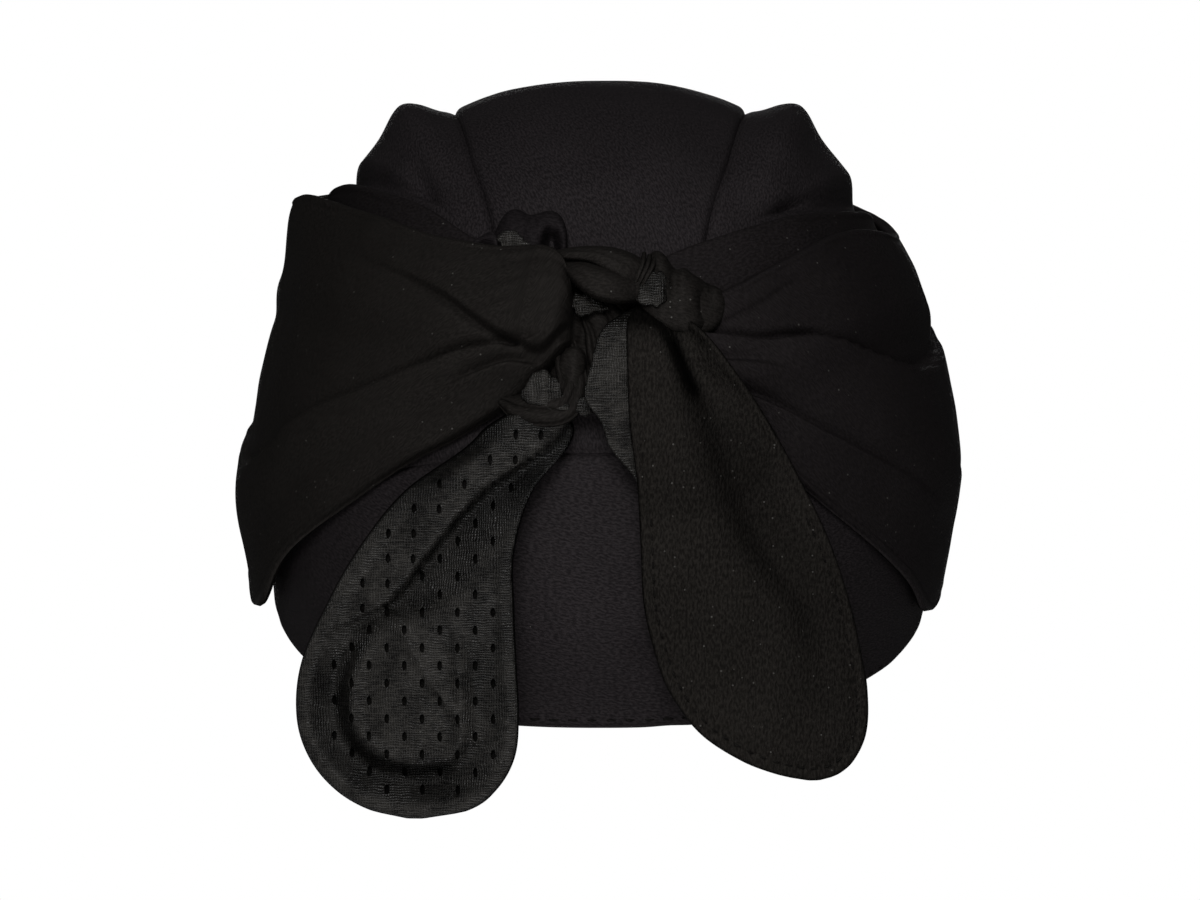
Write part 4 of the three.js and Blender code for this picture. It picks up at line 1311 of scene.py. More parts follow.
WEDGE = Patch(
    "knot_lower_strand",
    "knot_lower_loop",
    Slot.BAND,
    (
        (-8.6, -5.6),
        (-5.2, -4.4),
        (-3, -7),
        (-3.6, -12.8),
        (-5, -17.4),
        (-8.2, -15.8),
        (-10.2, -11.8),
        (-10, -8.2),
    ),
    lift=8.8,
    mounds=(Mound(-6.2, -10, 2.2, 7, 1.4),),
    wall=1.8,
)
LOWER_LINING = Patch(
    "knot_lining_lower",
    "knot_lower_loop",
    Slot.LINING,
    (
        (-19.4, -16.6),
        (-16.8, -12),
        (-14.2, -10.2),
        (-11.2, -11.4),
        (-9, -15.4),
        (-6.4, -20.2),
        (-10.2, -20.4),
        (-14, -19),
        (-17, -19),
    ),
    lift=12.6,
    mounds=(Mound(-13.6, -13, 2.4, 4, 1.2), Mound(-11.2, -13.4, 0.8, 4, -0.5)),
    slope_z=0.06,
    wall=0.7,
    fray=0.35,
    wrinkle=0.6,
)
LOWER_CORNER = Patch(
    "knot_lining_corner",
    "knot_lower_loop",
    Slot.LINING,
    ((-6.4, -17.6), (-3.4, -16.4), (-1.6, -18.4), (-2, -22), (-4.6, -21.4), (-6.8, -20.2)),
    lift=11.6,
    wall=0.7,
    fray=0.3,
)
GATHER = Patch(
    "knot_back_gather",
    "knot_back_gather",
    Slot.BAND,
    (
        (-26.4, 19.2),
        (-25, 24),
        (-22.6, 28),
        (-19.8, 28.8),
        (-17.4, 27),
        (-15.4, 27.2),
        (-12, 28.4),
        (-9.2, 27),
        (-7.8, 23),
        (-7.8, 18),
        (-6.4, 14.6),
        (-15, 12.4),
        (-24, 13.6),
    ),
    lift=4.6,
    mounds=(
        Mound(-21.4, 23.4, 3.4, 4.6, 2.6),
        Mound(-16.8, 21.6, 1.6, 5, 0.8),
        Mound(-12.2, 22.8, 4.4, 5.4, 3.6),
        Mound(-11.7, 20.4, 2, 4, -6.6),
        Mound(-8.8, 19.4, 1, 2, 2),
    ),
    wall=1.4,
    cap_cloth=True,
)
GATHER_LINING = Patch(
    "knot_lining_gather",
    "knot_back_gather",
    Slot.LINING,
    (
        (-24.6, 22.8),
        (-21.6, 23.4),
        (-18.4, 21.6),
        (-15.8, 18.6),
        (-16.6, 15.6),
        (-21.4, 15.8),
        (-24, 18.6),
    ),
    lift=11.6,
    wall=0.7,
    fray=0.6,
    wrinkle=0.6,
)
GATHER_FLAP = Patch(
    "knot_back_flap",
    "knot_back_gather",
    Slot.BAND,
    ((-32.6, 19.4), (-29, 21.6), (-25.4, 23.6), (-24, 20), (-25, 15.6), (-30, 15.6)),
    lift=9.8,
    mounds=(Mound(-28, 19.6, 2.4, 1.3, -2.6),),
    wall=1.2,
    cap_cloth=True,
)
PATCHES = (
    GATHER_FLAP,
    COLLAR,
    COLLAR_BACK,
    COLLAR_LINING,
    INNER_LINING,
    DARK_CLOTH,
    WEDGE,
    LOWER_LINING,
    LOWER_CORNER,
    GATHER,
    GATHER_LINING,
)


@dataclass
class Knot:
    """The rolls and scraps of cloth that make the knot."""

    ring: int = 88
    step: float = 0.035
    patch_step: float = 0.0006

    def roll(self, form: Roll) -> Fabric:
        """One roll of cloth over the cap, closed at both ends.

        Args:
            form: its course and its creases.

        Returns:
            The closed roll.
        """
        rows = np.array([(i, *row) for i, row in enumerate(form.rows)], dtype=float)
        course = Course("x z half low high", rows)
        last = course.places[-1]
        place = np.linspace(0, last, int(last / self.step) + 1)
        tip = np.linspace(0, 0.9, 7)
        end = np.concatenate([tip, 0 * place + 1, tip[::-1]])
        place = np.concatenate([0 * tip, place, 0 * tip + last])
        ahead, back = np.minimum(place + 0.1, last), np.maximum(place - 0.1, 0)
        way_x = course.read("x", ahead) - course.read("x", back)
        way_z = course.read("z", ahead) - course.read("z", back)
        length = np.hypot(way_x, way_z)
        way_x, way_z = way_x / length, way_z / length
        half = course.read("half", place)
        past = np.cos(end * math.pi / 2) * 0.6 * half * np.where(place < last / 2, -1, 1)
        shrink = np.sin(end * math.pi / 2)
        low, high = course.read("low", place), course.read("high", place)
        centre, deep = (low + high) / 2, (high - low) / 2 * shrink
        angle = (2 * math.pi * np.arange(self.ring) / self.ring)[None, :]
        square = 0.06 * (1 - np.cos(4 * angle))
        out = (half * shrink)[:, None] * np.cos(angle) * (1 + square)
        x = (course.read("x", place) + way_x * past)[:, None] - way_z[:, None] * out
        z = (course.read("z", place) + way_z * past)[:, None] + way_x[:, None] * out
        dent = 0 * x
        for groove in form.grooves:
            line = groove.angle + groove.twist * (place / last - 0.5)[:, None]
            away = (angle - line + math.pi) % (2 * math.pi) - math.pi
            dent -= groove.depth * bump(away, 0, groove.half)
        flow = np.stack([place[:, None] * 0.006 + 0 * x, angle * 0.004 + 0 * x, 0 * x], axis=-1)
        dent = dent * 0.001 + form.uneven * wander(flow, (0.016, 0.0026, 1), 31)
        lift = (centre[:, None] + deep[:, None] * np.sin(angle) * (1 + square)) * 0.001
        lift += dent * shrink[:, None] * ease(np.sin(angle), -0.4, 0.3)
        points = FORM.behind(KNOT[0] + x * 0.001, KNOT[2] + z * 0.001, lift)
        return self.closed(form, points)

    def closed(self, form: Roll, points: np.ndarray) -> Fabric:
        """Join rings of points into a closed roll, with a quad cap at each end."""
        rings, ring = points.shape[:2]
        index = np.arange(rings * ring).reshape(rings, ring)
        after = np.roll(index, -1, axis=1)
        body = np.stack([index[:-1], index[1:], after[1:], after[:-1]], axis=-1).reshape(-1, 4)
        ends = []
        for row, turn in ((index[0], 1), (index[-1], -1)):
            for i in range(1, ring // 2):
                corners = [row[i - 1], row[i], row[(ring - i - 1) % ring], row[(ring - i) % ring]]
                ends.append(corners[::turn])
        faces = np.concatenate([body, np.array(ends)])
        uv = np.stack([arc_lengths(points, 0), arc_lengths(points, 1)], axis=-1).reshape(-1, 2)
        return Fabric(form.name, form.node, Slot.BAND, points.reshape(-1, 3), faces, uv)

    def patch(self, form: Patch, seed: int) -> Fabric:
        """One scrap of cloth, laid over the cap at its heights.

        Args:
            form: its cut and its heights.
            seed: chooses its wrinkles.

        Returns:
            The closed scrap.
        """
        line = resample(rounded(form.corners), 0.35)
        if form.fray:
            spot = np.concatenate([line, 0 * line[:, :1]], axis=1)
            fray = wander(spot, (0.9, 0.9, 1), seed) + 0.6 * wander(spot, (0.4, 0.4, 1), seed + 1)
            way = np.roll(line, -1, axis=0) - np.roll(line, 1, axis=0)
            square = np.stack([-way[:, 1], way[:, 0]], axis=-1)
            line = line + form.fray * fray[:, None] * square / np.linalg.norm(way, axis=1)[:, None]
        outline = line * 0.001 + KNOT[[0, 2]]
        pattern = Pattern(outline, np.zeros((0, 2)), edge_step=0.0004, step=self.patch_step)
        flat, triangles, distance = pattern.divided()
        x, z = (flat[:, 0] - KNOT[0]) * 1000, (flat[:, 1] - KNOT[2]) * 1000
        middle = line.mean(axis=0)
        lift = form.lift + form.slope_x * (x - middle[0]) + form.slope_z * (z - middle[1])
        for mound in form.mounds:
            lift = lift + mound.height * bump(x, mound.x, mound.half_x) * bump(
                z, mound.z, mound.half_z
            )
        spot = np.stack([x, z, 0 * x], axis=-1)
        lift = lift + form.wrinkle * wander(spot, (2.2, 3.4, 1), seed + 2)
        reach = max(form.wall / 2, 0.6) * 0.001
        thick = rolled(distance, reach)
        sag = 0.9 * form.wall * (1 - rolled(distance, 3 * reach)) if not form.fray else 0
        half = form.wall / 2 * thick
        outer = FORM.behind(flat[:, 0], flat[:, 1], (lift - sag + half) * 0.001)
        inner = FORM.behind(flat[:, 0], flat[:, 1], (lift - sag - half) * 0.001)
        return layered(form.name, form.node, form.slot, flat, triangles, outer, inner)

    def build(
        self, cloth: bpy.types.Material, mesh: bpy.types.Material, gather: bpy.types.Material
    ) -> list[bpy.types.Object]:
        """Make the rolls and scraps.

        Args:
            cloth: the finish of the band cloth.
            mesh: the finish of the lining.
            gather: the finish of the gathered cap cloth behind the knot: the cap's crepe, painted
                darker as shade.

        Returns:
            Their objects.
        """
        pieces = [self.roll(form).make(cloth) for form in ROLLS]
        for i, form in enumerate(PATCHES):
            fabric = self.patch(form, 60 + 5 * i)
            # pieces cut from the cap's crepe take its copy painted darker as shade
            finish = gather if form.cap_cloth else cloth
            pieces.append(fabric.make(mesh if form.slot is Slot.LINING else finish))
        return pieces


@dataclass
class Tail:
    """One hanging tie end with its lining."""

    side: Side
    top: float
    length: float
    width: float
    course: Course
    wall: float = 0.0018
    lining_wall: float = 0.001
    gap: float = 0.0005
    inset: float = 0.0003
    stand: float = 0.0065
    sweep: float = 0.02
    tuck: float = 0.07
    fold: float = 0.0042
    mesh_pitch: float = 0.0085
    eyelet_edge: float = 0.005
    strip_turn: float = 44.0
    stitched_from: float = 0.05
    stitch_inset: float = 0.0028
    rear_reach: float = 0.0

    def __post_init__(self) -> None:
        """Work out how far the form inside the cap reaches back."""
        power = FORM.round_squareness / (FORM.round_squareness - 1)
        tilt = math.radians(FORM.rim_tilt)
        back = (FORM.half_length * math.cos(tilt)) ** power
        up = (FORM.crown_height * math.sin(tilt)) ** power
        self.rear_reach = (back + up) ** (1 / power)

    def outline(self, inset: float) -> np.ndarray:
        """The pattern's outline, from the top down the left edge and up the right one."""
        drop = np.linspace(0, 1, 160)
        corner = 0.0042 * (1 - ease(drop, -0.03, 0.045))
        left = self.course.read("left", drop) * self.width + inset + corner
        right = self.course.read("right", drop) * self.width - inset - corner
        z = self.top - inset - drop * (self.length - 2 * inset)
        down = np.stack([KNOT[0] + left, z], axis=-1)
        up = np.stack([KNOT[0] + np.maximum(left + 0.0004, right), z], axis=-1)
        return np.concatenate([down, up[::-1]])

    def strip_eyelets(self) -> np.ndarray:
        """Centres of the eyelets on the part that is folded over, whose rows run along the fold."""
        turn = math.radians(self.strip_turn)
        along = np.array([math.cos(turn), math.sin(turn)])
        square = np.array([-along[1], along[0]])
        half = self.mesh_pitch / 2
        count = int(self.length / half)
        centres = []
        for row in range(-count, count):
            for column in range(-count, count):
                if (row + column) % 2:
                    continue
                middle = np.array([KNOT[0] - 0.5 * self.width, self.top - 0.3 * self.length])
                centres.append(middle + column * half * along + row * half * square)
        centres = np.array(centres)
        drop, share = self.share(centres)
        line = LEFT_TAIL_FOLD.read("share", drop)
        return centres[(share < line - 0.06) & (drop > 0.03) & (drop < 0.5)]

    def eyelets(self) -> np.ndarray:
        """Centres of the staggered eyelets."""
        centres = []
        for row in range(int(2 * self.length / self.mesh_pitch)):
            z = self.top - self.eyelet_edge - row * self.mesh_pitch / 2
            if z < self.top - self.length + self.eyelet_edge:
                continue
            drop = np.array((self.top - z) / self.length)
            left = float(self.course.read("left", drop)) * self.width + self.eyelet_edge
            right = float(self.course.read("right", drop)) * self.width - self.eyelet_edge
            offset = (row % 2) * self.mesh_pitch / 2
            first = math.ceil((left - offset) / self.mesh_pitch)
            last = math.floor((right - offset) / self.mesh_pitch)
            for column in range(first, last + 1):
                centres.append((KNOT[0] + column * self.mesh_pitch + offset, z))
        centres = np.array(centres)
        if self.side is Side.LEFT:
            drop, share = self.share(centres)
            below = share > LEFT_TAIL_FOLD.read("share", drop) + 0.05
            centres = np.concatenate([centres[below], self.strip_eyelets()])
        return centres

    def share(self, flat: np.ndarray) -> tuple[np.ndarray, np.ndarray]:
        """Drop down the tail and share across it of flat points."""
        drop = np.clip((self.top - flat[:, 1]) / self.length, 0, 1)
        left = self.course.read("left", drop) * self.width
        right = self.course.read("right", drop) * self.width
        across = (flat[:, 0] - KNOT[0] - left) / np.maximum(right - left, 0.002)
        return drop, np.clip(across, 0, 1)

    def raise_of(self, flat: np.ndarray) -> np.ndarray:
        """How far the cloth is raised beside its long fold."""
        drop, share = self.share(flat)
        deep = self.course.read("deep", drop)
        width = (self.course.read("right", drop) - self.course.read("left", drop)) * self.width
        if self.side is Side.LEFT:
            line = LEFT_TAIL_FOLD.read("share", drop)
            run = (share - line) * width
            deep = LEFT_TAIL_FOLD.read("deep", drop)
            valley = -0.0052 * bump(np.maximum(run, 0), 0.0022, 0.0108)
            strip = 0.004 * (1 - ease(run, -0.0008, 0.0018)) * deep
            edge = -0.0036 * (1 - ease(share, 0, 0.3)) * (1 - ease(drop, 0.16, 0.36))
            second = 0.0012 * bump(share, 0.8, 0.2) * ease(drop, 0.16, 0.26)
            second = second * (1 - ease(drop, 0.42, 0.62))
            lifted = 0.0042 * ease(drop, 0.05, 0.2)
            return strip + valley * deep + edge + second + lifted
        run = (share - self.course.read("fold", drop)) * width
        slot = 1 - ease(drop, 0.12, 0.25)
        run = run - mix(0.0038, 0.0008, slot)
        reach = mix(0.0125, 0.0062, slot)
        before = mix(0.0062, 0.0022, slot)
        ditch = np.where(run < 0, bump(run, 0, before), bump(run, 0, reach))
        past = 0.0006 * ease(run, 0, 0.0034) * slot * ease(drop, 0.02, 0.06)
        tuck = 0.008 * (1 - ease(drop, -0.02, 0.08)) ** 2
        return self.fold * deep * (1 - ditch * mix(1.2, 1.7, slot)) - past - tuck

    def points(self, flat: np.ndarray, layer: np.ndarray) -> np.ndarray:
        """Where flat points of the tail lie in space at a height over its lowest layer."""
        x, z = flat[:, 0], flat[:, 1]
        drop, _ = self.share(flat)
        over = self.course.read("over", drop) * 0.01
        sweep = self.sweep * (x / FORM.half_width) ** 2
        tuck = self.tuck * np.maximum(0, KNOT[2] - 0.04 - z)
        points = np.stack([x, sweep + tuck - self.rear_reach - self.stand, z], axis=-1)
        for _ in range(5):
            outside, outward = FORM.height_over(points)
            missing = over - outside
            push = (missing > 0) & (outward[:, 1] < -0.2)
            points[:, 1] += np.where(push, missing / np.where(push, outward[:, 1], 1), 0)
        points[:, 1] -= layer
        return points

    def waves(self, flat: np.ndarray) -> np.ndarray:
        """Soft unevenness of the hanging cloth."""
        place = np.stack([flat[:, 0], 0 * flat[:, 0], flat[:, 1]], axis=-1)
        seed = 40 if self.side is Side.LEFT else 50
        return 0.0006 * wander(place, (0.021, 1, 0.03), seed) + 0.0003 * wander(
            place, (0.008, 1, 0.011), seed + 1
        )

    def cloth(self) -> Fabric:
        """The tie end itself."""
        pattern = Pattern(self.outline(0), np.zeros((0, 2)))
        flat, triangles, distance = pattern.divided()
        lining_below = self.gap + self.lining_wall if self.side is Side.RIGHT else 0
        base = lining_below + self.raise_of(flat) + self.waves(flat)
        base = base + self.relief(flat, distance)
        thick = rolled(distance, self.wall / 2)
        seam = -0.0006 * bump(distance, self.stitch_inset, 0.0009)
        groove = seam if self.side is Side.RIGHT else 0
        centre, half = base + self.wall / 2, self.wall / 2 * thick
        name = f"tail_{self.side.word}"
        outer = self.points(flat, centre + half + groove)
        inner = self.points(flat, centre - half)
        # painted shade in the folds, the slit and under the knot
        shade = self.shade(flat, distance)
        return layered(name, name, Slot.BAND, flat, triangles, outer, inner, shade)

    def lining_outline(self, strip: Course | None) -> np.ndarray:
        """The lining's outline, with the strip that is turned out if it has one."""
        outline = self.outline(self.inset)
        if strip is not None:
            half = len(outline) // 2
            drop = (self.top - outline[:half, 1]) / self.length
            outline[:half, 0] -= strip.read("past", drop) * self.width
        return outline

    def lining(self, strip: Course | None) -> Fabric:
        """The eyelet mesh lining, with the strip that is turned out beside the cloth if it has one.

        Args:
            strip: how far the turned strip stands past the left edge, or None.

        Returns:
            The closed lining.
        """
        outline = self.lining_outline(strip)
        centres = self.eyelets()
        clear = edge_distance(centres, outline) > 0.003
        pattern = Pattern(outline, centres[clear])
        flat, triangles, distance = pattern.divided()
        layer = self.gap + self.wall if self.side is Side.LEFT else -0.00035
        base = layer + self.raise_of(flat) + self.waves(flat)
        base = base + self.relief(flat, distance)
        if self.side is Side.LEFT:
            base = base + 0.0007 * (1 - ease(distance, 0.003, 0.0042))
        thick = rolled(distance, self.lining_wall / 2)
        centre, half = base + self.lining_wall / 2, self.lining_wall / 2 * thick
        name = f"tail_{self.side.word}_lining"
        outer = self.points(flat, centre + half)
        inner = self.points(flat, centre - half)
        # painted shade in the folds, the slit and under the knot
        shade = self.shade(flat, distance)
        return layered(name, name, Slot.LINING, flat, triangles, outer, inner, shade)

    def topstitch(self) -> Fabric:
        """The row of stitches inside the edge of the cloth."""
        inset = self.stitch_inset
        edge = resample(self.outline(0), 0.0008)
        way = np.roll(edge, -1, axis=0) - np.roll(edge, 1, axis=0)
        square = np.stack([-way[:, 1], way[:, 0]], axis=-1)
        square /= np.linalg.norm(square, axis=1)[:, None]
        if not inside_line(edge[:1] + square[:1] * 1e-4, edge)[0]:
            square = -square
        row = edge + square * inset
        kept = (edge_distance(row, edge) > 0.97 * inset) & (
            row[:, 1] < self.top - self.stitched_from
        )
        row = row[kept]
        lining_below = self.gap + self.lining_wall if self.side is Side.RIGHT else 0
        base = lining_below + self.wall + self.raise_of(row) + self.waves(row)
        centres = self.points(row, base - 0.0004)
        outward = np.tile([0.0, -1.0, 0.0], (len(row), 1))
        name = f"tail_{self.side.word}_topstitch"
        return stitches(name, Slot.BAND, centres, outward, 0.0021, 0.0034)

    def shade(self, flat: np.ndarray, distance: np.ndarray) -> np.ndarray:
        """Painted shade: the share of the cloth's colour kept at flat points, darker beside the folds,
        in the right tail's slit, in a band inside the left tail's lower edges, on parts of its upper
        left and right, and under the knot.
        """
        drop, share = self.share(flat)
        width = (self.course.read("right", drop) - self.course.read("left", drop)) * self.width
        if self.side is Side.RIGHT:
            run = (share - self.course.read("fold", drop)) * width
            deep = self.course.read("deep", drop) * ease(drop, 0.1, 0.3)
            hollow = 0.3 * bump(run, 0.0055, 0.0085) * deep
            under = 0.4 * (1 - ease(drop, 0, 0.1))
            return np.maximum(0.04, 1 - hollow - under - 0.85 * self.slit(flat))
        run = (share - LEFT_TAIL_FOLD.read("share", drop)) * width
        deep = np.minimum(1, LEFT_TAIL_FOLD.read("deep", drop))
        fold = 0.5 * ease(run, -0.0002, 0.001) * bump(np.maximum(run, 0), 0.002, 0.0115) * deep
        ring = 0.55 * ease(distance, 0.0016, 0.0042) * (1 - ease(distance, 0.0096, 0.013))
        ring = ring * ease(drop, 0.45, 0.7)
        ring = ring * (1 - 0.6 * ease(share, 0.55, 0.85) * (1 - ease(drop, 0.86, 0.95)))
        edge = 0.5 * (1 - ease(share, 0, 0.36)) * (1 - ease(drop, 0.14, 0.34))
        right = 0.35 * ease(share, 0.66, 1) * bump(drop, 0.56, 0.2)
        under = 0.35 * (1 - ease(drop, 0, 0.12))
        pocket = 0.5 * ease(run, -0.0002, 0.001) * (1 - ease(drop, 0.16, 0.33))
        return np.maximum(0.2, 1 - fold - ring - edge - right - under - pocket)

    def slit(self, flat: np.ndarray) -> np.ndarray:
        """How deep flat points lie in the closed end of the right tail's fold."""
        return bump(line_distance(flat, CLOSED_SLIT), 0, 0.0014)

    def relief(self, flat: np.ndarray, distance: np.ndarray) -> np.ndarray:
        """The right tail's slit, or the left tail's ring valley and thin pressed crease."""
        if self.side is Side.RIGHT:
            return -0.0004 * self.slit(flat)
        drop, share = self.share(flat)
        shown = ease(drop, 0.45, 0.7)
        ring = ease(distance, 0.0024, 0.009) * (1 - ease(distance, 0.009, 0.0132))
        ring = ring * (1 - 0.75 * ease(share, 0.55, 0.85) * (1 - ease(drop, 0.86, 0.95)))
        lip = 0.0011 * bump(distance, 0.0134, 0.0015)
        along = ease(drop, 0.47, 0.52) * (1 - ease(drop, 0.8, 0.86))
        pressed = 0.0011 * bump(line_distance(flat, PRESSED_CREASE), 0, 0.0008) * along
        return (lip - 0.0042 * ring) * shown + pressed


LEFT_TAIL = Course(
    "left right over fold deep",
    [
        (0, -0.47, -0.1, 0.22, 1, 0.2),
        (0.08, -0.6, -0.14, 0.25, 0.92, 0.7),
        (0.19, -0.88, -0.3, 0.3, 0.76, 1),
        (0.34, -1.1, -0.385, 0.3, 0.56, 1),
        (0.48, -1.245, -0.385, 0.28, 0.36, 0.7),
        (0.62, -1.355, -0.375, 0.26, 0.3, 0.25),
        (0.75, -1.375, -0.365, 0.25, 0.3, 0),
        (0.85, -1.32, -0.385, 0.25, 0.3, 0),
        (0.93, -1.2, -0.47, 0.25, 0.3, 0),
        (0.98, -1.04, -0.6, 0.25, 0.3, 0),
        (1, -0.87, -0.8, 0.25, 0.3, 0),
    ],
)
RIGHT_TAIL = Course(
    "left right over fold deep",
    [
        (0, 0.12, 0.3, 1.22, 0.55, 0.5),
        (0.05, 0.12, 0.46, 1.22, 0.57, 1),
        (0.14, 0.125, 0.62, 1.2, 0.56, 1),
        (0.25, 0.135, 0.78, 1.08, 0.55, 1),
        (0.38, 0.17, 0.935, 0.85, 0.54, 1),
        (0.5, 0.185, 1.06, 0.5, 0.59, 0.95),
        (0.63, 0.2, 1.155, 0.35, 0.73, 0.75),
        (0.73, 0.25, 1.205, 0.3, 0.75, 0.45),
        (0.81, 0.315, 1.235, 0.3, 0.74, 0.2),
        (0.9, 0.46, 1.23, 0.3, 0.71, 0.08),
        (0.96, 0.66, 1.17, 0.3, 0.72, 0),
        (0.99, 0.84, 1.09, 0.3, 0.72, 0),
        (1, 0.96, 1.01, 0.3, 0.72, 0),
    ],
)
LEFT_TAIL_FOLD = Course(
    "share deep",
    [
        (0, 0.95, 0.3),
        (0.052, 0.84, 0.7),
        (0.14, 0.68, 1),
        (0.221, 0.58, 1.1),
        (0.362, 0.447, 1.1),
        (0.4625, 0.331, 0.9),
        (0.5215, 0.147, 0.5),
        (0.57, 0, 0),
        (1, 0, 0),
    ],
)
PRESSED_CREASE = np.array([(-0.0494, -0.0078), (-0.0401, -0.0236), (-0.0296, -0.0379)])
CLOSED_SLIT = np.array([(0.0178, 0.0575), (0.0193, 0.0539), (0.0215, 0.0486), (0.0227, 0.046)])
TURNED_STRIP = Course(
    "past",
    [
        (0, 0),
        (0.055, 0.12),
        (0.125, 0.17),
        (0.195, 0.205),
        (0.25, 0.135),
        (0.3, 0.11),
        (0.37, 0.01),
        (0.42, 0),
        (1, 0),
    ],
)


def stitches(
    name: str,
    slot: Slot,
    centres: np.ndarray,
    outward: np.ndarray,
    length: float,
    pitch: float,
    radius: float = 0.00026,
) -> Fabric:
    """A row of sewn stitches along a course.

    Args:
        name: the row's name.
        slot: its material slot.
        centres: points along the course, on the cloth.
        outward: the cloth's way out at each.
        length: length of one stitch.
        pitch: distance from one stitch to the next.
        radius: half thickness of the thread.

    Returns:
        All its stitches as one piece.
    """
    run = np.concatenate([[0], np.cumsum(np.linalg.norm(np.diff(centres, axis=0), axis=1))])
    starts = np.arange(0.3 * pitch, run[-1] - length, pitch)
    angle = np.arange(8) / 8 * 2 * math.pi
    vertices, faces = [], []
    for start in starts:
        rings = []
        for share, size in ((0, 0.35), (0.12, 0.85), (0.5, 1), (0.88, 0.85), (1, 0.35)):
            place = start + share * length
            middle = np.array([np.interp(place, run, centres[:, i]) for i in range(3)])
            before = np.array([np.interp(place - 0.0005, run, centres[:, i]) for i in range(3)])
            out = np.array([np.interp(place, run, outward[:, i]) for i in range(3)])
            way = (middle - before) / np.linalg.norm(middle - before)
            side = np.cross(way, out)
            sink = radius * (0.6 - 1.2 * (2 * share - 1) ** 2)
            ring = np.outer(np.cos(angle), side) + np.outer(np.sin(angle), out)
            rings.append(middle + out * sink + radius * size * ring)
        first = 40 * len(vertices)
        for i in range(4):
            for j in range(8):
                low, high = first + 8 * i, first + 8 * i + 8
                after = (j + 1) % 8
                faces.append((low + j, low + after, high + after, high + j))
        for ring in (first, first + 32):
            for a, b, c, d in ((0, 1, 2, 3), (0, 3, 4, 7), (4, 5, 6, 7)):
                corners = (ring + a, ring + b, ring + c, ring + d)
                faces.append(corners[::-1] if ring == first else corners)
        vertices.append(np.concatenate(rings))
    points = np.concatenate(vertices)
    return Fabric(name, "", slot, points, np.array(faces), points[:, [0, 2]])


def cut_size(outline: np.ndarray) -> tuple[tuple[float, float], float]:
    """Width, length and area of a piece of cloth as it is cut."""
    after = np.roll(outline, -1, axis=0)
    area = abs(float(np.sum(outline[:, 0] * after[:, 1] - after[:, 0] * outline[:, 1]))) / 2
    width, length = outline.max(axis=0) - outline.min(axis=0)
    return (float(width), float(length)), area


@dataclass
class Tails:
    """Both tie ends."""

    left: Tail
    right: Tail

    def build(
        self,
        cloth: bpy.types.Material,
        inner: bpy.types.Material,
        mesh: bpy.types.Material,
        thread: bpy.types.Material,
    ) -> list[bpy.types.Object]:
        """Make the tie ends and their linings.

        Args:
            cloth: the finish of the band cloth.
            inner: the finish of the left tail's cloth, seen only through the eyelets and painted much
                darker as the shade inside them.
            thread: the finish of the topstitch.
            mesh: the finish of the lining.

        Returns:
            The objects.
        """
        pieces = []
        for tail, strip in ((self.left, None), (self.right, TURNED_STRIP)):
            # the left tail's cloth lies under its lining and takes the dark painted-shade finish
            piece = tail.cloth().make(inner if tail.side is Side.LEFT else cloth)
            lining = tail.lining(strip).make(mesh)
            size, area = cut_size(tail.outline(0))
            size, area = cut_size(tail.lining_outline(strip))
            pieces += [piece, lining]
        pieces.append(self.right.topstitch().make(thread))
        return pieces


@dataclass(frozen=True)
class Finish:
    """Colours and surface of one cloth."""

    name: str
    base: tuple[float, float, float]
    light: tuple[float, float, float]
    roughness: float
    grain_length: float
    grain_width: float
    grain_angle: float
    grain_height: float
    specks: float
    # painted shade: share of the colour kept where the cloth turns away from the camera
    turned_painted_shade: float
    specular: float
    patchy: float = 0.5
    patch_scale: float = 60.0
    weave_share: float = 0.0


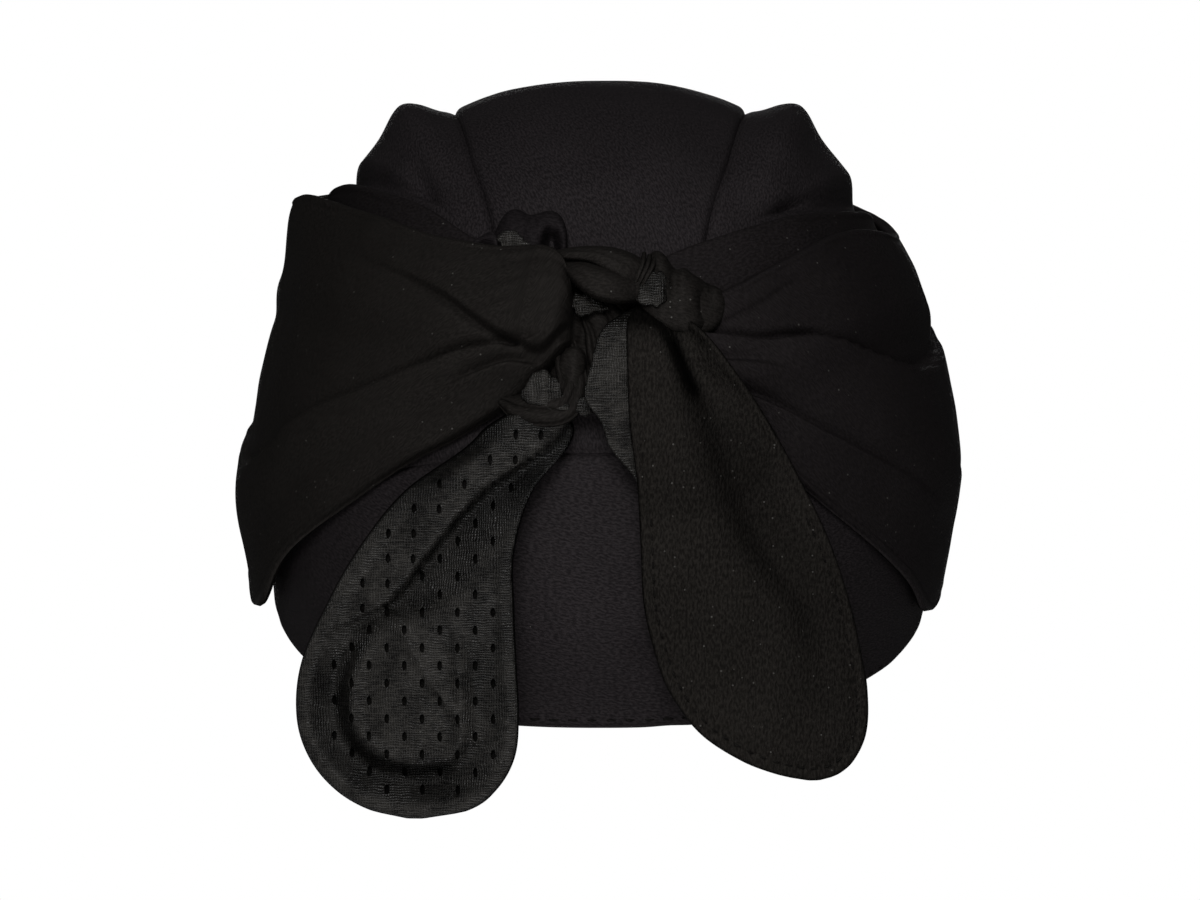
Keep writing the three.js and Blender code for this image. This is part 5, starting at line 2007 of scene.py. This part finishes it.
class Shaders:
    """The node groups that the finishes share, and the finishes."""

    @staticmethod
    def group(name: str, inputs: Sequence[tuple[str, float]], outputs: Sequence[str]):
        """A new node group with float inputs after a vector, and float outputs.

        Args:
            name: the group's name.
            inputs: names and usual values of its inputs.
            outputs: names of its outputs.

        Returns:
            The group, and its input and output nodes.
        """
        tree = bpy.data.node_groups.new(name, "ShaderNodeTree")
        tree.interface.new_socket("Vector", in_out="INPUT", socket_type="NodeSocketVector")
        for label, value in inputs:
            socket = tree.interface.new_socket(
                label, in_out="INPUT", socket_type="NodeSocketFloat"
            )
            socket.default_value = value
        for label in outputs:
            tree.interface.new_socket(label, in_out="OUTPUT", socket_type="NodeSocketFloat")
        return tree, tree.nodes.new("NodeGroupInput"), tree.nodes.new("NodeGroupOutput")

    @staticmethod
    def math_node(tree: bpy.types.NodeTree, kind: str, *values) -> bpy.types.NodeSocket:
        """Add a math node and return its output."""
        node = tree.nodes.new("ShaderNodeMath")
        node.operation = kind
        for i, value in enumerate(values):
            if isinstance(value, (int, float)):
                node.inputs[i].default_value = value
            else:
                tree.links.new(value, node.inputs[i])
        return node.outputs[0]

    @classmethod
    def grain(cls) -> bpy.types.NodeTree:
        """Long flecks of yarn: a shade from 0 to 1 and a height."""
        tree, start, end = cls.group(
            "yarn_grain", [("Length", 0.002), ("Width", 0.0006), ("Angle", 0.0)], ["Shade", "Height"]
        )
        turned = tree.nodes.new("ShaderNodeVectorRotate")
        turned.rotation_type = "Z_AXIS"
        tree.links.new(start.outputs["Vector"], turned.inputs["Vector"])
        tree.links.new(start.outputs["Angle"], turned.inputs["Angle"])
        size = tree.nodes.new("ShaderNodeCombineXYZ")
        tree.links.new(start.outputs["Length"], size.inputs[0])
        tree.links.new(start.outputs["Width"], size.inputs[1])
        size.inputs[2].default_value = 1
        divided = tree.nodes.new("ShaderNodeVectorMath")
        divided.operation = "DIVIDE"
        tree.links.new(turned.outputs["Vector"], divided.inputs[0])
        tree.links.new(size.outputs["Vector"], divided.inputs[1])
        noise = tree.nodes.new("ShaderNodeTexNoise")
        noise.inputs["Scale"].default_value = 1
        noise.inputs["Detail"].default_value = 3
        noise.inputs["Roughness"].default_value = 0.6
        tree.links.new(divided.outputs["Vector"], noise.inputs["Vector"])
        ramp = tree.nodes.new("ShaderNodeMapRange")
        ramp.interpolation_type = "SMOOTHSTEP"
        ramp.inputs["From Min"].default_value = 0.36
        ramp.inputs["From Max"].default_value = 0.66
        tree.links.new(noise.outputs["Fac"], ramp.inputs["Value"])
        tree.links.new(ramp.outputs["Result"], end.inputs["Shade"])
        tree.links.new(noise.outputs["Fac"], end.inputs["Height"])
        return tree

    @classmethod
    def lint(cls) -> bpy.types.NodeTree:
        """Sparse tiny specks: a mask."""
        tree, start, end = cls.group("lint_specks", [("Share", 0.05)], ["Mask"])
        cells = tree.nodes.new("ShaderNodeTexVoronoi")
        cells.inputs["Scale"].default_value = 420
        tree.links.new(start.outputs["Vector"], cells.inputs["Vector"])
        near = cls.math_node(tree, "LESS_THAN", cells.outputs["Distance"], 0.09)
        parts = tree.nodes.new("ShaderNodeSeparateColor")
        tree.links.new(cells.outputs["Color"], parts.inputs["Color"])
        chosen = cls.math_node(tree, "LESS_THAN", parts.outputs[0], start.outputs["Share"])
        mask = cls.math_node(tree, "MULTIPLY", near, chosen)
        tree.links.new(mask, end.inputs["Mask"])
        return tree

    @classmethod
    def threads(cls) -> bpy.types.NodeTree:
        """Crossing threads of the mesh: a shade and a height."""
        tree, start, end = cls.group("mesh_threads", [("Pitch", 0.0008)], ["Shade", "Height"])
        sway = tree.nodes.new("ShaderNodeTexNoise")
        sway.inputs["Scale"].default_value = 320
        tree.links.new(start.outputs["Vector"], sway.inputs["Vector"])
        moved = tree.nodes.new("ShaderNodeVectorMath")
        moved.operation = "MULTIPLY_ADD"
        tree.links.new(sway.outputs["Color"], moved.inputs[0])
        moved.inputs[1].default_value = (0.0013, 0.0013, 0)
        tree.links.new(start.outputs["Vector"], moved.inputs[2])
        parts = tree.nodes.new("ShaderNodeSeparateXYZ")
        tree.links.new(moved.outputs["Vector"], parts.inputs["Vector"])
        waves = []
        for i in range(2):
            phase = cls.math_node(tree, "DIVIDE", parts.outputs[i], start.outputs["Pitch"])
            phase = cls.math_node(tree, "MULTIPLY", phase, 2 * math.pi)
            waves.append(cls.math_node(tree, "SINE", phase))
        crossed = cls.math_node(tree, "MAXIMUM", waves[0], waves[1])
        shade = cls.math_node(tree, "MULTIPLY_ADD", crossed, 0.5, 0.5)
        tree.links.new(shade, end.inputs["Shade"])
        tree.links.new(crossed, end.inputs["Height"])
        return tree

    def __init__(self) -> None:
        """Make the shared groups."""
        self.grain_group = self.grain()
        self.lint_group = self.lint()
        self.threads_group = self.threads()

    def cloth(self, finish: Finish) -> bpy.types.Material:
        """A cloth's finish.

        Args:
            finish: its colours and surface.

        Returns:
            The material.
        """
        material = bpy.data.materials.new(finish.name)
        material.use_nodes = True
        tree = material.node_tree
        tree.nodes.clear()
        out = tree.nodes.new("ShaderNodeOutputMaterial")
        surface = tree.nodes.new("ShaderNodeBsdfPrincipled")
        tree.links.new(surface.outputs[0], out.inputs["Surface"])
        surface.inputs["Specular IOR Level"].default_value = finish.specular
        place = tree.nodes.new("ShaderNodeUVMap")
        place.uv_map = "cloth"
        grain = tree.nodes.new("ShaderNodeGroup")
        grain.node_tree = self.grain_group
        grain.inputs["Length"].default_value = finish.grain_length
        grain.inputs["Width"].default_value = finish.grain_width
        grain.inputs["Angle"].default_value = finish.grain_angle
        tree.links.new(place.outputs["UV"], grain.inputs["Vector"])
        broad = tree.nodes.new("ShaderNodeTexNoise")
        broad.inputs["Scale"].default_value = finish.patch_scale
        broad.inputs["Detail"].default_value = 4
        spot = tree.nodes.new("ShaderNodeTexCoord")
        tree.links.new(spot.outputs["Object"], broad.inputs["Vector"])
        shade, height = grain.outputs["Shade"], grain.outputs["Height"]
        if finish.weave_share:
            threads = tree.nodes.new("ShaderNodeGroup")
            threads.node_tree = self.threads_group
            threads.inputs["Pitch"].default_value = finish.grain_width
            tree.links.new(place.outputs["UV"], threads.inputs["Vector"])
            share = finish.weave_share
            shade = self.math_node(tree, "MULTIPLY", threads.outputs["Shade"], share)
            shade = self.math_node(tree, "MULTIPLY_ADD", grain.outputs["Shade"], 1 - share, shade)
            height = threads.outputs["Height"]
        patchy = finish.patchy
        cloudy = self.math_node(tree, "MULTIPLY_ADD", broad.outputs["Fac"], patchy, -patchy / 2)
        shade = self.math_node(tree, "ADD", shade, cloudy)
        colour = tree.nodes.new("ShaderNodeMix")
        colour.data_type = "RGBA"
        tree.links.new(shade, colour.inputs["Factor"])
        colour.inputs["A"].default_value = (*finish.base, 1)
        colour.inputs["B"].default_value = (*finish.light, 1)
        lint = tree.nodes.new("ShaderNodeGroup")
        lint.node_tree = self.lint_group
        lint.inputs["Share"].default_value = finish.specks
        tree.links.new(spot.outputs["Object"], lint.inputs["Vector"])
        speckled = tree.nodes.new("ShaderNodeMix")
        speckled.data_type = "RGBA"
        tree.links.new(lint.outputs["Mask"], speckled.inputs["Factor"])
        tree.links.new(colour.outputs["Result"], speckled.inputs["A"])
        speckled.inputs["B"].default_value = (0.06, 0.058, 0.054, 1)
        # painted shade: the colour darkens as the cloth turns away from the camera, down to the
        # finish's share for turned cloth
        facing = tree.nodes.new("ShaderNodeLayerWeight")
        facing.inputs["Blend"].default_value = 0.5
        turned = tree.nodes.new("ShaderNodeMapRange")
        turned.inputs["From Min"].default_value = 0.02
        turned.inputs["From Max"].default_value = 0.5
        turned.inputs["To Min"].default_value = 1.0
        turned.inputs["To Max"].default_value = finish.turned_painted_shade
        tree.links.new(facing.outputs["Facing"], turned.inputs["Value"])
        # painted shade: the point attribute shade darkens the colour in folds and under the knot,
        # together with the painted shade of turned-away cloth
        pressed = tree.nodes.new("ShaderNodeAttribute")
        pressed.attribute_name = "shade"
        lit = self.math_node(tree, "MULTIPLY", turned.outputs["Result"], pressed.outputs["Fac"])
        dimmed = tree.nodes.new("ShaderNodeVectorMath")
        dimmed.operation = "SCALE"
        tree.links.new(speckled.outputs["Result"], dimmed.inputs[0])
        tree.links.new(lit, dimmed.inputs["Scale"])
        tree.links.new(dimmed.outputs["Vector"], surface.inputs["Base Color"])
        rough = self.math_node(tree, "MULTIPLY_ADD", broad.outputs["Fac"], 0.12, finish.roughness)
        tree.links.new(rough, surface.inputs["Roughness"])
        relief = tree.nodes.new("ShaderNodeBump")
        relief.inputs["Strength"].default_value = 1
        relief.inputs["Distance"].default_value = finish.grain_height
        tree.links.new(height, relief.inputs["Height"])
        tree.links.new(relief.outputs["Normal"], surface.inputs["Normal"])
        return material


CREPE = Finish(
    name="crepe",
    base=(0.0084, 0.0072, 0.0078),
    light=(0.0212, 0.0182, 0.0194),
    roughness=0.52,
    grain_length=0.0011,
    grain_width=0.00048,
    grain_angle=0.15,
    grain_height=0.0003,
    specks=0.01,
    turned_painted_shade=0.74,
    specular=0.025,
)
JERSEY = Finish(
    name="jersey",
    base=(0.0072, 0.0064, 0.0058),
    light=(0.0134, 0.0119, 0.0109),
    roughness=0.54,
    grain_length=0.0012,
    grain_width=0.00055,
    grain_angle=0.35,
    grain_height=0.0003,
    specks=0.2,
    turned_painted_shade=0.72,
    specular=0.025,
)
PLUM_JERSEY = replace(
    JERSEY, name="plum_jersey", base=(0.007, 0.0059, 0.0061), light=(0.013, 0.0111, 0.0115)
)
TAIL_JERSEY = replace(
    JERSEY,
    name="tail_jersey",
    base=(0.0058, 0.0051, 0.0045),
    light=(0.0152, 0.0136, 0.012),
    grain_angle=math.pi / 2,
    grain_height=0.0007,
    turned_painted_shade=0.3,
    specks=0.5,
)
# painted shade: the cap's crepe made darker for the gathered cloth behind the knot
GATHER_CREPE_PAINTED_SHADE = replace(
    CREPE, name="gather_crepe_painted_shade", base=(0.0066, 0.0056, 0.0061), light=(0.0125, 0.0106, 0.0114)
)
# painted shade: the cloth behind the eyelets is made much darker so that they read as shaded holes
PAINTED_SHADE_INNER_JERSEY = replace(
    JERSEY, name="painted_shade_inner_jersey", base=(0.002, 0.0018, 0.0016), light=(0.004, 0.0036, 0.0032)
)
THREAD = replace(
    JERSEY, name="thread", base=(0.0034, 0.0031, 0.0029), light=(0.0084, 0.0077, 0.007), specks=0.0
)
MESH = Finish(
    name="eyelet_mesh",
    base=(0.004, 0.0036, 0.0032),
    light=(0.0232, 0.0216, 0.0195),
    roughness=0.3,
    grain_length=0.0024,
    grain_width=0.0006,
    grain_angle=0.0,
    grain_height=0.00012,
    specks=0.14,
    turned_painted_shade=0.34,
    specular=0.2,
    patchy=2.4,
    patch_scale=150.0,
    weave_share=0.2,
)


@dataclass
class Studio:
    """Plain pale floor, soft light and the photo's camera."""

    floor_size: float = 5.0
    floor_height: float = -0.45
    camera_distance: float = 2.4
    camera_height: float = 0.032
    lens: float = 288.0

    def light(self, name: str, place: Sequence[float], size: float, power: float) -> None:
        """A square soft light that looks at the headwrap."""
        lamp = bpy.data.lights.new(name, "AREA")
        lamp.size = size
        lamp.energy = power
        holder = bpy.data.objects.new(name, lamp)
        holder.location = place
        way = Vector((0, 0, 0.03)) - Vector(place)
        holder.rotation_euler = way.to_track_quat("-Z", "Y").to_euler()
        bpy.context.collection.objects.link(holder)

    def floor(self) -> None:
        """A plain pale floor, far below the hanging headwrap."""
        half = self.floor_size / 2
        mesh = bpy.data.meshes.new("floor")
        corners = [(-half, -half, 0), (half, -half, 0), (half, half, 0), (-half, half, 0)]
        mesh.from_pydata(corners, [], [(0, 1, 2, 3)])
        material = bpy.data.materials.new("pale_floor")
        material.use_nodes = True
        surface = material.node_tree.nodes["Principled BSDF"]
        surface.inputs["Base Color"].default_value = (0.8, 0.8, 0.8, 1)
        surface.inputs["Roughness"].default_value = 0.9
        mesh.materials.append(material)
        piece = bpy.data.objects.new("floor", mesh)
        piece.location = (0, 0, self.floor_height)
        bpy.context.collection.objects.link(piece)
        piece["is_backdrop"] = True

    def world(self) -> None:
        """White behind the headwrap, and a weak even light from all sides."""
        world = bpy.data.worlds.new("studio")
        bpy.context.scene.world = world
        world.use_nodes = True
        tree = world.node_tree
        tree.nodes.clear()
        out = tree.nodes.new("ShaderNodeOutputWorld")
        seen = tree.nodes.new("ShaderNodeBackground")
        seen.inputs["Color"].default_value = (1, 1, 1, 1)
        seen.inputs["Strength"].default_value = 1
        weak = tree.nodes.new("ShaderNodeBackground")
        weak.inputs["Color"].default_value = (1, 1, 1, 1)
        weak.inputs["Strength"].default_value = 0.06
        path = tree.nodes.new("ShaderNodeLightPath")
        either = tree.nodes.new("ShaderNodeMixShader")
        tree.links.new(path.outputs["Is Camera Ray"], either.inputs["Fac"])
        tree.links.new(weak.outputs[0], either.inputs[1])
        tree.links.new(seen.outputs[0], either.inputs[2])
        tree.links.new(either.outputs[0], out.inputs["Surface"])

    def build(self) -> None:
        """Set the floor, the lights, the world and the camera."""
        self.floor()
        self.light("front_key", (-0.2, -2.15, 0.85), 0.8, 36)
        self.light("top_front", (0, -1.1, 1.7), 0.8, 11)
        self.light("front_low", (0.1, -2.3, -0.25), 0.6, 7)
        self.light("rear", (0, 2.5, 0.25), 0.9, 6)
        self.world()
        camera = bpy.data.cameras.new("camera")
        camera.lens = self.lens
        camera.sensor_width = 36
        holder = bpy.data.objects.new("camera", camera)
        holder.location = (0, -self.camera_distance, self.camera_height)
        holder.rotation_euler = (math.pi / 2, 0, 0)
        bpy.context.collection.objects.link(holder)
        scene = bpy.context.scene
        scene.camera = holder
        scene.view_settings.view_transform = "Standard"
        scene.view_settings.look = "None"


def plain(value) -> list:
    """Nested vectors as plain lists of numbers."""
    if hasattr(value, "__len__") and not isinstance(value, (str, dict)):
        return [plain(part) for part in value]
    return float(value)


def main() -> None:
    """Build the whole scene on the loaded frame."""
    logging.basicConfig(level=logging.INFO, format="%(name)s: %(message)s")
    packed = plain(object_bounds())
    shaders = Shaders()
    crepe, jersey = shaders.cloth(CREPE), shaders.cloth(JERSEY)
    mesh = shaders.cloth(MESH)
    thread = shaders.cloth(THREAD)
    CapPanels().build(crepe, thread)
    Bands().build(jersey, shaders.cloth(PLUM_JERSEY))
    Knot().build(jersey, mesh, shaders.cloth(GATHER_CREPE_PAINTED_SHADE))
    left = Tail(Side.LEFT, KNOT[2] - 0.04 * 0.52, 0.097, 0.053, LEFT_TAIL)
    right = Tail(Side.RIGHT, KNOT[2] + 0.04 * 0.13, 0.114, 0.052, RIGHT_TAIL)
    tail_jersey, painted_shade_inner_jersey = shaders.cloth(TAIL_JERSEY), shaders.cloth(PAINTED_SHADE_INNER_JERSEY)
    Tails(left, right).build(tail_jersey, painted_shade_inner_jersey, mesh, thread)
    Studio().build()
    visual = plain(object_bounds())
    log.info("packed %s, visual %s", packed, visual)


if __name__ == "__main__":
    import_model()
    main()
